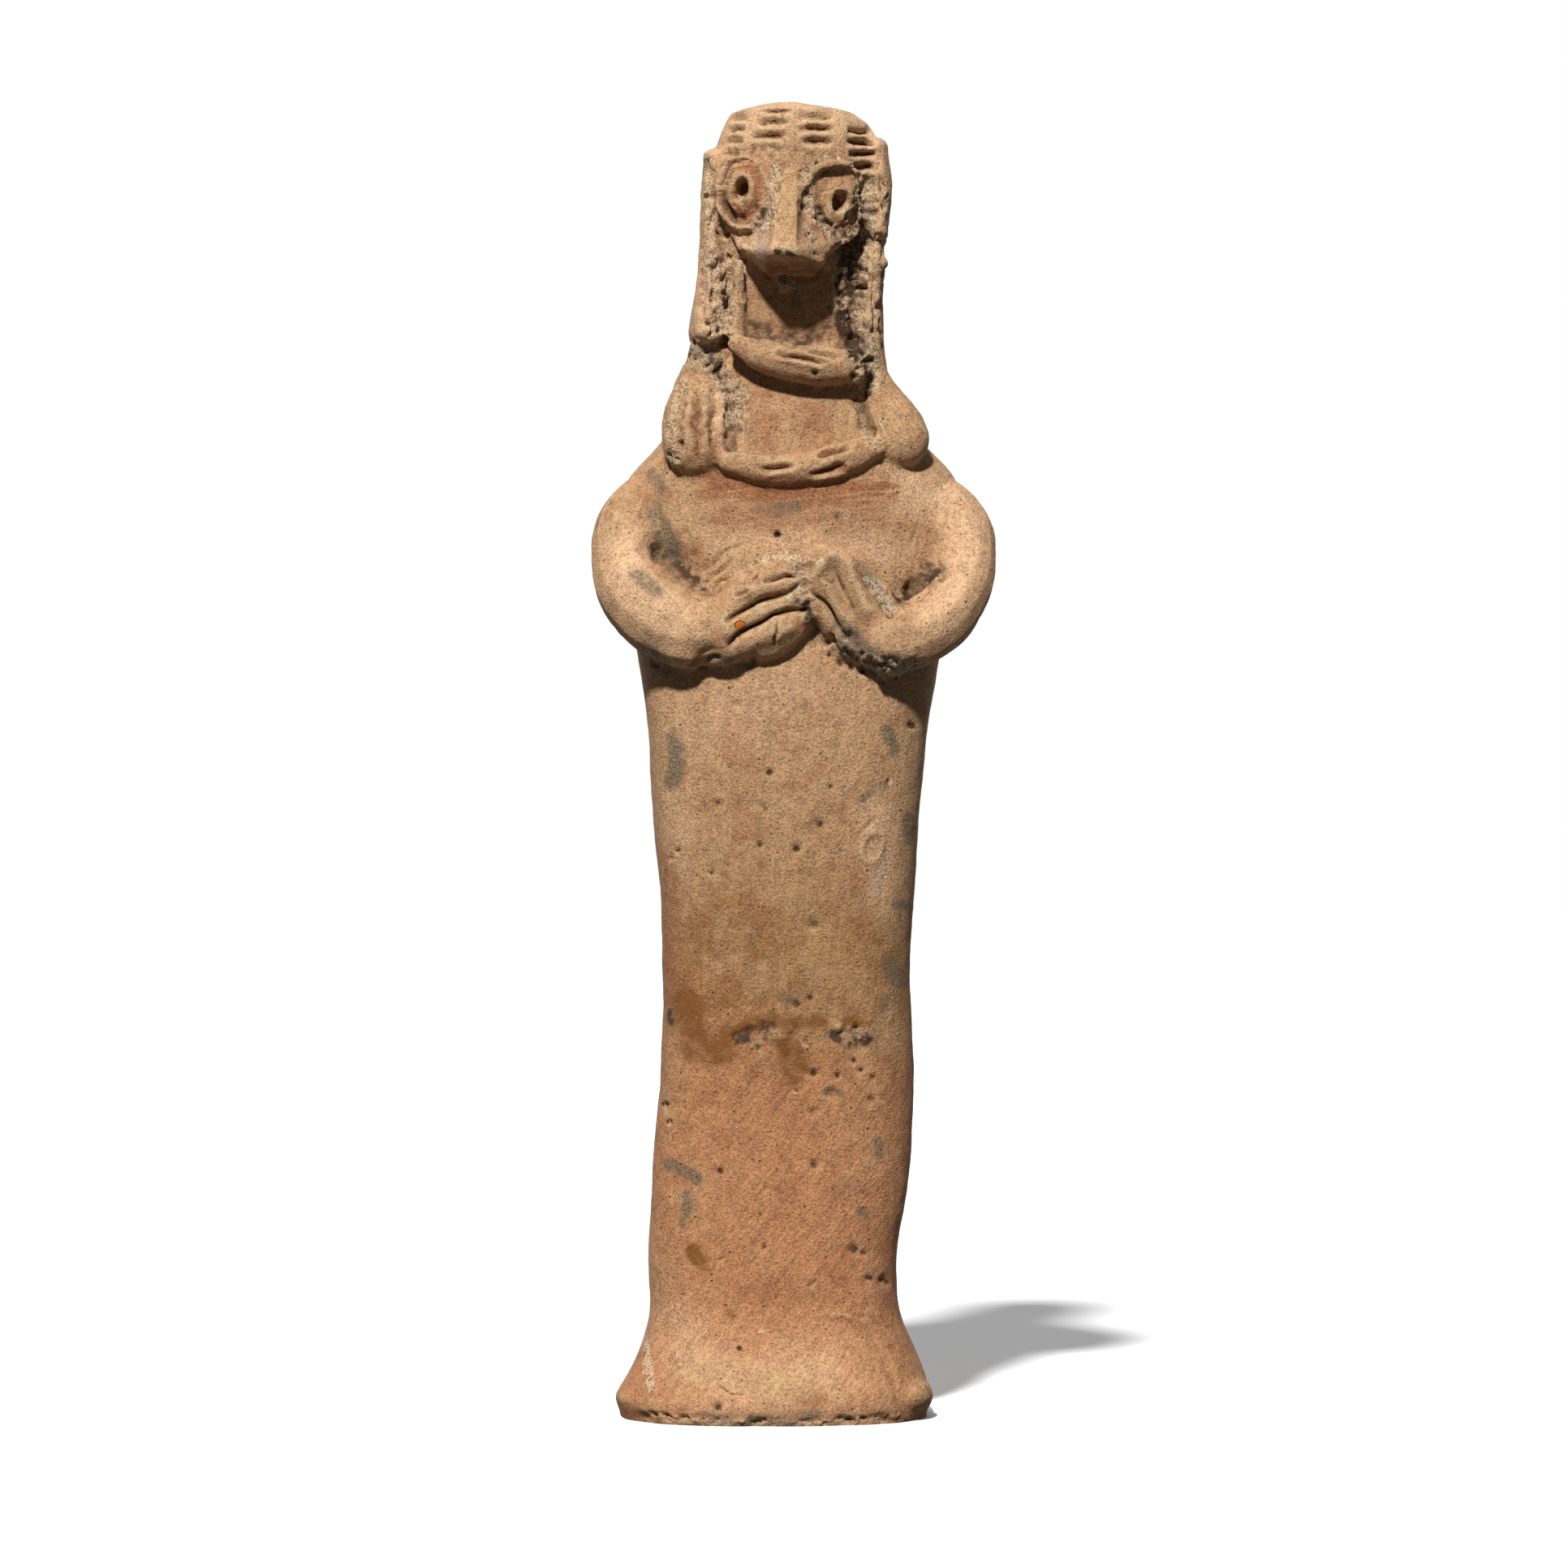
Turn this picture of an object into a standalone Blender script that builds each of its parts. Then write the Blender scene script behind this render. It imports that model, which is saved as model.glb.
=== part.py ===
"""Terracotta pillar figure: one piece of hand-modelled, fired clay that stands on a flared foot.

Metres, +Z up. The figure faces -Y and the origin is the centre of its flat underside.
It is built as its maker built it: a flattened pillar, with rolls and pellets of clay pressed
on for the arms, hair, collars and eyes, a beak pinched out of the face, and strokes pressed
in with a tool. The lumps are then fused into one solid.
"""
import math
from collections import namedtuple

import bmesh
import bpy
import numpy as np
from mathutils import Matrix, Vector

# Driving dimensions, in metres
FIGURE_HEIGHT = 0.1615
SHOULDER_SPAN = 0.0503
FIGURE_DEPTH = 0.0290

# The relief: how far each applied piece stands out, and how deep each tool went in
NOSE_REACH = 0.0068
EYE_PROUD = 0.0013
EYE_RING_WIDTH = 0.0012
PUPIL_WIDTH = 0.0020
PUPIL_HEIGHT = 0.0029
PUPIL_DEPTH = 0.0022
LID_PROUD = 0.0017
UPPER_COLLAR_PROUD = 0.0037
LOWER_COLLAR_PROUD = 0.0017
HAIR_PROUD = 0.0014
NECK_HAIR_PROUD = 0.0021
LOCK_PROUD = 0.0034
FOREARM_PROUD = 0.0040
HAND_PROUD = 0.0038
STROKE_WIDTH = 0.0016
STROKE_DEPTH = 0.0012
FINGER_GROOVE_WIDTH = 0.0017
FINGER_GROOVE_DEPTH = 0.0013
LOCK_GROOVE_WIDTH = 0.0020
LOCK_GROOVE_DEPTH = 0.0009
EYE_GROOVE_WIDTH = 0.0013
EYE_GROOVE_DEPTH = 0.0009
ARM_HOLLOW_WIDTH = 0.0044
ARM_HOLLOW_DEPTH = 0.0011

# The section of a stroke and of a pupil's hole, and a stroke's depth at its ends as a share
BOWL_STEEPNESS = 1.5
PUPIL_STEEPNESS = 3.0
STROKE_END_SHARE = 0.6

# The clay's fineness: the grain of the fused surface, its smoothing, and the faces left on it.
# The strokes and eyes keep the faces they have when FACES_BEFORE_FINE are left.
GRAIN = 0.00036
SMOOTHING_PASSES = 6
PRESSED_SMOOTHING_PASSES = 3
FACES_BEFORE_FINE = 15000
FACES_KEPT = 9900
EYE_ZONE = 1.2
RIM_MERGE = 0.00005

# Places on the figure are shares of its three overall sizes. The tables count them in steps
# of 1/161.5 of the height, 1/50.3 of the shoulder span and 1/29 of the depth, so that a step
# is one millimetre at the real size. x runs to the figure's left hand, which is +X.
HEIGHT_STEPS = 161.5
SPAN_STEPS = 50.3
DEPTH_STEPS = 29.0
UP = FIGURE_HEIGHT / HEIGHT_STEPS
ACROSS = SHOULDER_SPAN / SPAN_STEPS
DEEP = FIGURE_DEPTH / DEPTH_STEPS
FOOT_CENTRE = -1.4

CLAY_COLOUR = (0.43, 0.235, 0.125, 1.0)
CLAY_ROUGHNESS = 0.88

# Cross-sections of the trunk, foot to headdress: where its left and right sides and its front
# and back lie, and how square it is (2 is an ellipse)
Section = namedtuple("Section", "level left right front back square")
TRUNK = (
    Section(-2.0, -19.6, 17.2, 14.4, 12.6, 2.5),
    Section(0.3, -20.4, 18.0, 15.2, 13.4, 2.6),
    Section(2.4, -21.0, 18.2, 15.3, 13.5, 2.6),
    Section(5.0, -19.6, 17.7, 14.2, 12.6, 2.6),
    Section(8.0, -18.2, 16.6, 12.6, 11.6, 2.6),
    Section(12.0, -17.1, 15.0, 11.3, 10.7, 2.7),
    Section(18.5, -17.0, 14.4, 10.8, 10.2, 2.8),
    Section(29.5, -16.5, 15.8, 10.6, 10.0, 2.8),
    Section(42.0, -15.5, 16.2, 10.4, 9.9, 2.8),
    Section(54.5, -15.1, 16.0, 10.4, 9.9, 2.8),
    Section(66.5, -15.6, 16.7, 10.6, 10.0, 2.8),
    Section(78.0, -16.6, 17.5, 10.9, 10.2, 2.8),
    Section(89.0, -17.6, 18.9, 10.9, 10.4, 2.7),
    Section(96.0, -18.8, 20.2, 10.5, 10.3, 2.5),
    Section(102.0, -20.6, 22.6, 9.8, 10.0, 2.3),
    Section(108.0, -21.4, 23.4, 9.2, 9.6, 2.2),
    Section(112.5, -20.6, 22.6, 9.0, 9.2, 2.2),
    Section(115.6, -19.3, 21.3, 8.9, 9.0, 2.2),
    Section(118.6, -16.6, 18.6, 8.7, 8.8, 2.2),
    Section(122.5, -13.2, 14.8, 8.2, 8.6, 2.2),
    Section(127.0, -10.6, 11.8, 7.4, 8.2, 2.2),
    Section(133.0, -9.2, 10.6, 6.9, 8.0, 2.2),
    Section(139.0, -9.2, 10.6, 6.9, 8.0, 2.2),
    Section(144.0, -9.2, 11.0, 7.9, 8.2, 2.4),
    Section(149.0, -9.2, 11.6, 8.9, 8.4, 2.5),
    Section(154.0, -9.0, 11.8, 9.1, 8.3, 2.5),
    Section(157.3, -8.2, 11.8, 8.9, 7.9, 2.4),
    Section(159.6, -7.0, 9.9, 8.4, 7.2, 2.3),
    Section(160.9, -5.6, 6.8, 7.4, 6.2, 2.2),
    Section(161.5, -2.8, 2.8, 4.4, 3.8, 2.0),
)
RING_STEP = 1.2
RING_POINTS = 56
DRAPE_SHARE = 0.93


def place(x, y, z):
    """A place counted in steps, as a point in metres."""
    return Vector(((x - FOOT_CENTRE) * ACROSS, y * DEEP, z * UP))


def smooth_between(levels, values, level):
    """The value at a level, on a smooth curve through the table's values."""
    slopes = np.gradient(values, levels)
    low = np.clip(np.searchsorted(levels, level) - 1, 0, len(levels) - 2)
    gap = levels[low + 1] - levels[low]
    share = np.clip((level - levels[low]) / gap, 0.0, 1.0)
    ease = share * share * (3.0 - 2.0 * share)
    leaving = slopes[low] * gap * share * (1.0 - share) ** 2
    arriving = slopes[low + 1] * gap * (1.0 - share) * share**2
    return values[low] * (1.0 - ease) + values[low + 1] * ease + leaving - arriving


def section_at(level):
    levels = np.array([section.level for section in TRUNK])
    columns = np.array([section[1:] for section in TRUNK]).T
    return [float(smooth_between(levels, column, level)) for column in columns]


def trunk_front(x, level):
    """How far forward the trunk's front is, in steps of depth, before anything is applied."""
    left, right, front, _, square = section_at(level)
    across = abs(x - (left + right) / 2) / ((right - left) / 2)
    across = min(across, DRAPE_SHARE)
    return -front * (1.0 - across**square) ** (1.0 / square)


def signed_power(value, power):
    return math.copysign(abs(value) ** power, value)


def trunk_ring(level):
    left, right, front, back, square = section_at(level)
    ring = []
    for index in range(RING_POINTS):
        angle = 2 * math.pi * index / RING_POINTS
        x = (left + right) / 2 + (right - left) / 2 * signed_power(math.cos(angle), 2 / square)
        depth = signed_power(math.sin(angle), 2 / square)
        ring.append(place(x, depth * (back if depth > 0 else front), level))
    return ring


def trunk(clay):
    """The pillar body, neck and head: a loft through the table's unlike sections."""
    first = TRUNK[0].level
    last = TRUNK[-1].level
    count = round((last - first) / RING_STEP)
    rings = []
    for index in range(count + 1):
        level = first + (last - first) * index / count
        rings.append([clay.verts.new(point) for point in trunk_ring(level)])
    for below, above in zip(rings, rings[1:]):
        for index in range(RING_POINTS):
            after = (index + 1) % RING_POINTS
            clay.faces.new((below[index], below[after], above[after], above[index]))
    clay.faces.new(reversed(rings[0]))
    clay.faces.new(rings[-1])


def pellet(clay, centre, half_sizes, turn=0.0):
    """A flattened ball of clay. Its half sizes are in metres, and turn swings it about Z."""
    matrix = Matrix.Translation(centre) @ Matrix.Rotation(turn, 4, "Z")
    matrix = matrix @ Matrix.Diagonal((*half_sizes, 1.0))
    bmesh.ops.create_uvsphere(clay, u_segments=24, v_segments=16, radius=1.0, matrix=matrix)


def take_mesh(clay, obj):
    """Adds an object's final mesh to the clay, and removes the object."""
    graph = bpy.context.evaluated_depsgraph_get()
    mesh = bpy.data.meshes.new_from_object(obj.evaluated_get(graph))
    mesh.transform(obj.matrix_world)
    clay.from_mesh(mesh)
    bpy.data.meshes.remove(mesh)
    bpy.data.objects.remove(obj)


def roll(clay, path, flatness):
    """A roll of clay along a path of (x, y, z, half width), as thick as flatness times its width."""
    squash = flatness * DEEP / ACROSS
    curve = bpy.data.curves.new("roll", "CURVE")
    curve.dimensions = "3D"
    curve.bevel_depth = 1.0
    curve.bevel_resolution = 4
    curve.use_fill_caps = True
    spline = curve.splines.new("BEZIER")
    spline.resolution_u = 8
    spline.radius_interpolation = "CARDINAL"
    spline.bezier_points.add(len(path) - 1)
    for point, (x, y, z, half_width) in zip(spline.bezier_points, path):
        spot = place(x, y, z)
        point.co = (spot.x, spot.y / squash, spot.z)
        point.radius = half_width * ACROSS
        point.handle_left_type = "AUTO"
        point.handle_right_type = "AUTO"
    obj = bpy.data.objects.new("roll", curve)
    obj.scale.y = squash
    bpy.context.scene.collection.objects.link(obj)
    bpy.context.view_layer.update()
    take_mesh(clay, obj)
    for x, y, z, half_width in (path[0], path[-1]):
        radius = half_width * ACROSS
        pellet(clay, place(x, y, z), (radius, radius * squash, radius))


def applied_roll(clay, path, proud, flatness):
    """A roll along (x, z, half width) pressed on to the trunk, standing proud of its front."""
    lift = proud / DEEP
    laid = []
    for x, z, half_width in path:
        y = trunk_front(x, z) - lift + half_width * flatness
        laid.append((x, y, z, half_width))
    roll(clay, laid, flatness)


def ring_of_clay(clay, centre, half_width, half_height, thickness, turn):
    """A closed ring of round clay, standing upright and swung about Z to face outwards."""
    bpy.ops.mesh.primitive_torus_add(
        major_segments=32, minor_segments=10, major_radius=1.0, minor_radius=thickness / half_width / 2
    )
    obj = bpy.context.object
    upright = Matrix.Rotation(math.pi / 2, 4, "X")
    size = Matrix.Diagonal((half_width, half_width, half_height, 1.0))
    obj.matrix_world = Matrix.Translation(centre) @ Matrix.Rotation(turn, 4, "Z") @ size @ upright
    bpy.context.view_layer.update()
    take_mesh(clay, obj)


def wedge(clay, corners):
    """A solid of pinched clay: the hull of its corners."""
    verts = [clay.verts.new(place(*corner)) for corner in corners]
    result = bmesh.ops.convex_hull(clay, input=verts)
    loose = [item for item in result["geom_interior"] if isinstance(item, bmesh.types.BMVert)]
    bmesh.ops.delete(clay, geom=loose, context="VERTS")


# Arms: rolls from the shoulders, out over the elbows and in to hands that meet on the chest
RIGHT_ARM = (
    (-13.9, -1.0, 113.0, 4.7),
    (-17.7, -2.4, 110.2, 5.0),
    (-18.9, -5.0, 104.8, 5.0),
    (-16.2, -8.2, 99.4, 5.4),
    (-11.8, -9.9, 96.6, 5.1),
    (-7.4, -10.7, 96.3, 4.3),
)
LEFT_ARM = (
    (15.4, -1.0, 112.8, 4.6),
    (20.6, -2.4, 109.8, 4.7),
    (22.2, -4.8, 105.2, 4.4),
    (20.8, -7.6, 100.4, 4.5),
    (17.4, -9.6, 96.6, 4.5),
    (13.2, -10.7, 95.2, 4.4),
)
ARM_FLATNESS = 0.84
RIGHT_HAND = ((-7.4, 96.4, 4.2), (-3.6, 97.8, 5.9), (-0.4, 99.7, 5.6), (2.0, 101.2, 4.5))
LEFT_HAND = ((13.4, 95.4, 4.4), (10.1, 97.6, 5.2), (7.4, 100.3, 5.0), (5.1, 102.6, 4.3))
HAND_FLATNESS = 0.56


def arms(clay):
    for arm in (RIGHT_ARM, LEFT_ARM):
        roll(clay, arm, ARM_FLATNESS)
        forearm = [(x, z, half_width) for x, _, z, half_width in arm[3:]]
        applied_roll(clay, forearm, FOREARM_PROUD, ARM_FLATNESS)
    for hand in (RIGHT_HAND, LEFT_HAND):
        applied_roll(clay, hand, HAND_PROUD, HAND_FLATNESS)


# Hair: a thick roll down each side of the head with thinner strands before it, below it a lock
# lying on the shoulder, and a plain flat mass down the back of the neck
RIGHT_HAIR = (
    (-8.7, -2.6, 154.4, 1.5),
    (-8.9, -2.8, 147.6, 1.7),
    (-8.8, -3.0, 140.0, 2.0),
    (-9.3, -3.2, 133.0, 2.6),
)
LEFT_HAIR = (
    (11.6, -2.6, 155.6, 1.7),
    (11.9, -2.8, 150.6, 1.9),
    (11.0, -3.0, 142.0, 1.6),
    (10.6, -2.4, 128.6, 2.0),
)
SIDE_HAIR_FLATNESS = 2.0
STRANDS = (
    ((-8.3, 154.2, 1.3), (-8.6, 147.6, 1.5), (-8.7, 141.0, 1.6)),
    ((-8.8, 134.0, 2.4), (-8.6, 130.0, 2.8)),
    ((11.0, 155.4, 1.4), (11.3, 150.4, 1.7), (10.9, 145.0, 1.5)),
    ((10.4, 145.6, 1.5), (9.6, 139.6, 1.7), (9.4, 134.6, 1.8), (10.0, 130.0, 2.0)),
    ((11.0, 137.0, 1.3), (10.9, 132.0, 1.7), (11.3, 127.6, 1.9)),
)
STRAND_FLATNESS = 0.85
NECK_STRAND = ((-5.5, 141.0, 0.7), (-5.5, 137.7, 1.0), (-5.7, 132.8, 1.3), (-5.4, 131.0, 1.3))
RIGHT_LOCK = ((-9.2, 130.4, 2.7), (-9.9, 126.4, 3.6), (-10.4, 122.0, 4.7), (-10.5, 119.6, 4.8))
LEFT_LOCK = ((10.2, 130.0, 2.2), (11.3, 126.2, 2.7), (13.4, 121.8, 3.8), (14.4, 119.8, 3.8))
LOCK_FLATNESS = 0.75
BACK_HAIR = ((1.2, 4.2, 150.6, 7.2), (1.2, 4.2, 144.0, 8.6), (0.8, 4.2, 134.0, 9.2), (0.6, 4.4, 125.0, 9.4))
BACK_HAIR_FLATNESS = 0.6


def hair(clay):
    for side in (RIGHT_HAIR, LEFT_HAIR):
        roll(clay, side, SIDE_HAIR_FLATNESS)
    for strand in STRANDS:
        applied_roll(clay, strand, HAIR_PROUD, STRAND_FLATNESS)
    applied_roll(clay, NECK_STRAND, NECK_HAIR_PROUD, STRAND_FLATNESS)
    for lock in (RIGHT_LOCK, LEFT_LOCK):
        applied_roll(clay, lock, LOCK_PROUD, LOCK_FLATNESS)
    roll(clay, BACK_HAIR, BACK_HAIR_FLATNESS)


# Collars: a thick strip round the throat, and a low band on the chest between the locks
UPPER_COLLAR = (
    (-5.6, 131.2, 1.5),
    (-3.2, 130.0, 2.2),
    (1.0, 128.9, 2.5),
    (4.9, 128.5, 2.6),
    (8.4, 128.6, 2.3),
)
LOWER_COLLAR = (
    (-6.6, 117.0, 1.6),
    (-2.0, 115.9, 2.0),
    (3.8, 116.4, 2.2),
    (8.4, 117.6, 2.2),
    (10.8, 118.8, 1.8),
)
UPPER_COLLAR_FLATNESS = 0.9
LOWER_COLLAR_FLATNESS = 0.7


def collars(clay):
    applied_roll(clay, UPPER_COLLAR, UPPER_COLLAR_PROUD, UPPER_COLLAR_FLATNESS)
    applied_roll(clay, LOWER_COLLAR, LOWER_COLLAR_PROUD, LOWER_COLLAR_FLATNESS)


# Eyes: a pellet pressed flat inside a ring, with a hole poked in for the pupil, clay packed
# under the ring where the face falls away from it, and a thick lid over the left one
Eye = namedtuple("Eye", "x z half_width half_height turn pupil_x pupil_z")
EYES = (
    Eye(-5.1, 150.2, 2.8, 3.5, math.radians(-18), -5.2, 150.1),
    Eye(6.7, 148.4, 3.0, 3.7, math.radians(22), 7.2, 148.7),
)
RING_OVER_EYE_WIDTH = 1.15
RING_OVER_EYE_HEIGHT = 1.18
RING_DROP = 0.45
RING_LIFT = 0.25
PACKING_WIDTH = 1.3
PACKING_DEPTH = 1.4
PACKING_OVER_RING = 0.75
EYE_THICKNESS = 2.0
EYE_ROUNDNESS = 0.5
LID = ((2.9, 150.4, 0.75), (3.8, 152.2, 0.9), (6.0, 153.1, 0.95), (8.2, 153.0, 0.8))
LID_FLATNESS = 1.0


def flat_pellet(clay, centre, half_sizes, turn):
    """A pellet of clay pressed almost flat, with a round edge. Sizes are as in pellet."""
    ball = bmesh.ops.create_uvsphere(clay, u_segments=32, v_segments=24, radius=1.0)
    for vert in ball["verts"]:
        vert.co.y = signed_power(vert.co.y, EYE_ROUNDNESS)
    matrix = Matrix.Translation(centre) @ Matrix.Rotation(turn, 4, "Z") @ Matrix.Diagonal((*half_sizes, 1.0))
    bmesh.ops.transform(clay, matrix=matrix, verts=ball["verts"])


def eyes(clay):
    for eye in EYES:
        front = trunk_front(eye.x, eye.z)
        half_width = eye.half_width * ACROSS
        half_height = eye.half_height * UP
        depth = EYE_THICKNESS * DEEP
        centre = place(eye.x, front, eye.z) + Vector((0.0, depth - EYE_PROUD, 0.0))
        flat_pellet(clay, centre, (half_width, depth, half_height), eye.turn)
        ring_centre = place(eye.x, front - RING_LIFT, eye.z - RING_DROP)
        width = half_width * RING_OVER_EYE_WIDTH
        height = half_height * RING_OVER_EYE_HEIGHT
        ring_of_clay(clay, ring_centre, width, height, EYE_RING_WIDTH, eye.turn)
        outer_side = math.copysign(width, eye.turn)
        under_ring = Vector((outer_side, PACKING_DEPTH * DEEP, 0.0))
        packing = ring_centre + Matrix.Rotation(eye.turn, 3, "Z") @ under_ring
        sizes = (PACKING_WIDTH * ACROSS, PACKING_DEPTH * DEEP, height * PACKING_OVER_RING)
        pellet(clay, packing, sizes, eye.turn)
    applied_roll(clay, LID, LID_PROUD, LID_FLATNESS)


# The face: a shield that overhangs the throat, and the beak pinched out of its middle: a flat
# ridge that widens to a blunt tip, and lower down the wings beside it, with a slanting
# underside. The beak's corners are (x, share of its reach, z).
FACE_LEVEL = 150.0
SHIELD = (
    (-7.0, 150.0), (-7.0, 145.0), (-5.4, 142.6), (-2.6, 140.9),
    (4.6, 140.9), (7.0, 143.0), (8.8, 145.6), (9.0, 150.0),
)
SHIELD_DEPTH = 4.0
RIDGE_X = 0.8
TIP = ((-1.5, 1.0, 142.1), (1.7, 1.0, 142.1), (-1.4, 0.95, 141.3), (1.6, 0.95, 141.3))
RIDGE = (*TIP, (0.2, 0.08, 152.6), (1.6, 0.08, 152.6), (-0.1, 0.46, 147.6), (1.5, 0.46, 147.6))
RIDGE_ROOTS = ((-1.0, 0.0, 152.0), (2.4, 0.0, 152.0), (-2.2, 0.0, 147.4), (2.7, 0.0, 147.0))
WINGS = (*TIP, (-2.4, 0.5, 140.5), (4.6, 0.48, 140.7), (-5.4, 0.02, 142.8), (6.8, 0.05, 143.2))
WING_TOPS = ((-1.7, 0.14, 147.0), (2.5, 0.14, 147.0))
UNDERSIDE = ((-1.8, 0.15, 139.4), (4.0, 0.15, 139.3))
BEAK_ROOT_SHARE = 0.9
CHIN_KNOB = (0.2, 138.4, 1.1)
CHIN_KNOB_LIFT = 0.3


def beak(clay):
    reach = NOSE_REACH / DEEP
    face = trunk_front(RIDGE_X, FACE_LEVEL)
    shield = []
    for x, z in SHIELD:
        front = trunk_front(x, FACE_LEVEL)
        shield.append((x, front, z))
        shield.append((x, front + SHIELD_DEPTH, z))
    wedge(clay, shield)
    for form in ((*RIDGE, *RIDGE_ROOTS), (*WINGS, *WING_TOPS, *UNDERSIDE)):
        pinched = []
        for x, share, z in form:
            pinched.append((x, face - share * reach, z))
            pinched.append((RIDGE_X + (x - RIDGE_X) * BEAK_ROOT_SHARE, face + SHIELD_DEPTH, z))
        wedge(clay, pinched)
    x, z, half_width = CHIN_KNOB
    knob = place(x, trunk_front(x, z) - half_width * CHIN_KNOB_LIFT, z)
    pellet(clay, knob, (half_width * ACROSS, half_width * DEEP, half_width * UP))


# The foot's corners: a thin flare at the figure's right, a rounded lump at its left
RIGHT_FLARE = ((-17.6, -1.5, 2.4), (3.4, 8.5, 2.2))
LEFT_LUMP = ((14.9, -4.5, 2.8), (3.7, 6.0, 3.0))


def foot_corners(clay):
    for centre, sizes in (RIGHT_FLARE, LEFT_LUMP):
        pellet(clay, place(*centre), (sizes[0] * ACROSS, sizes[1] * DEEP, sizes[2] * UP))


# Strokes pressed in with a tool, as runs of (x, z). The headdress has four columns of dashes.
Column = namedtuple("Column", "left right top bottom count droop")
HEADDRESS_COLUMNS = (
    Column(-6.6, -4.9, 159.0, 154.9, 4, 0.0),
    Column(-3.9, 0.6, 159.7, 156.8, 3, -0.1),
    Column(1.9, 6.3, 158.9, 155.9, 3, 0.1),
    Column(8.3, 11.2, 157.4, 153.2, 4, 0.0),
)
COLLAR_SLASHES = (
    ((-0.7, 129.9), (2.3, 129.3), (5.1, 128.7)),
    ((3.2, 130.1), (7.0, 129.3)),
    ((-2.9, 115.9), (1.3, 116.1)),
    ((4.0, 117.6), (7.9, 118.4)),
    ((3.4, 115.0), (7.4, 115.9)),
)
FINGER_GROOVES = (
    ((-3.2, 102.0), (-0.1, 102.3), (2.4, 103.2)),
    ((-6.9, 97.1), (-5.0, 98.9), (-0.1, 100.6), (2.7, 102.0)),
    ((-6.8, 94.0), (-4.6, 96.0), (-1.5, 97.4), (3.0, 98.5)),
    ((6.0, 104.5), (7.3, 101.3), (8.7, 98.6)),
    ((9.4, 103.1), (11.2, 99.7), (12.6, 98.4)),
    ((2.9, 101.8), (4.9, 100.1)),
    ((3.4, 104.6), (3.2, 101.4), (3.6, 97.8)),
)
LOCK_GROOVES = (
    ((-12.0, 126.6), (-12.5, 118.0)),
    ((-10.0, 126.8), (-10.4, 116.6)),
    ((-8.0, 126.4), (-8.4, 117.6)),
    ((12.4, 124.6), (14.2, 118.4)),
    ((-8.2, 142.0), (-8.5, 132.6)),
)
EYE_GROOVES = (
    ((-7.6, 150.2), (-7.3, 148.6), (-6.1, 147.3), (-5.0, 146.6), (-4.0, 146.1)),
)
ARM_HOLLOWS = (
    ((-17.0, 107.1), (-13.4, 104.3), (-8.9, 100.4)),
    ((19.2, 104.6), (19.0, 102.4), (14.6, 99.2)),
)


def headdress_strokes():
    for column in HEADDRESS_COLUMNS:
        for index in range(column.count):
            share = index / (column.count - 1)
            z = column.top + (column.bottom - column.top) * share
            yield ((column.left, z), (column.right, z + column.droop))


def distance_to_run(points, run):
    """How far each point is from a run of straight pieces, looking along Y, and how far along."""
    nearest = np.full(len(points), np.inf)
    along = np.zeros(len(points))
    lengths = [np.linalg.norm(b - a) for a, b in zip(run, run[1:])]
    walked = 0.0
    for start, end, length in zip(run, run[1:], lengths):
        share = np.clip((points - start) @ (end - start) / length**2, 0.0, 1.0)
        distance = np.linalg.norm(points - (start + share[:, None] * (end - start)), axis=1)
        closer = distance < nearest
        nearest[closer] = distance[closer]
        along[closer] = (walked + share[closer] * length) / sum(lengths)
        walked += length
    return nearest, along


def press_stroke(points, normals, stroke, width, depth):
    """Pushes the front of the clay in along a stroke that is shallower at its ends."""
    run = [np.array((place(x, 0, z).x, place(x, 0, z).z)) for x, z in stroke]
    distance, along = distance_to_run(points[:, [0, 2]], run)
    near = (distance < width / 2) & (normals[:, 1] < 0)
    bowl = (1.0 - (2.0 * distance[near] / width) ** 2) ** BOWL_STEEPNESS
    ends = STROKE_END_SHARE + (1.0 - STROKE_END_SHARE) * np.sin(np.pi * along[near])
    points[near] -= normals[near] * (depth * bowl * ends)[:, None]
    return near


def press_pupil(points, normals, eye):
    """Pokes the pupil's hole straight in."""
    centre = place(eye.pupil_x, 0, eye.pupil_z)
    across = (points[:, 0] - centre.x) / (PUPIL_WIDTH / 2)
    up = (points[:, 2] - centre.z) / (PUPIL_HEIGHT / 2)
    reach = np.hypot(across, up)
    near = (reach < 1.0) & (normals[:, 1] < 0)
    points[near, 1] += PUPIL_DEPTH * (1.0 - reach[near] ** PUPIL_STEEPNESS)


def in_eye(points, normals, eye):
    """Which points lie on an eye's pellet or on the ring round it."""
    centre = place(eye.x, 0, eye.z - RING_DROP)
    across = (points[:, 0] - centre.x) / (eye.half_width * ACROSS * RING_OVER_EYE_WIDTH)
    up = (points[:, 2] - centre.z) / (eye.half_height * UP * RING_OVER_EYE_HEIGHT)
    return (np.hypot(across, up) < EYE_ZONE) & (normals[:, 1] < 0)


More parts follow.
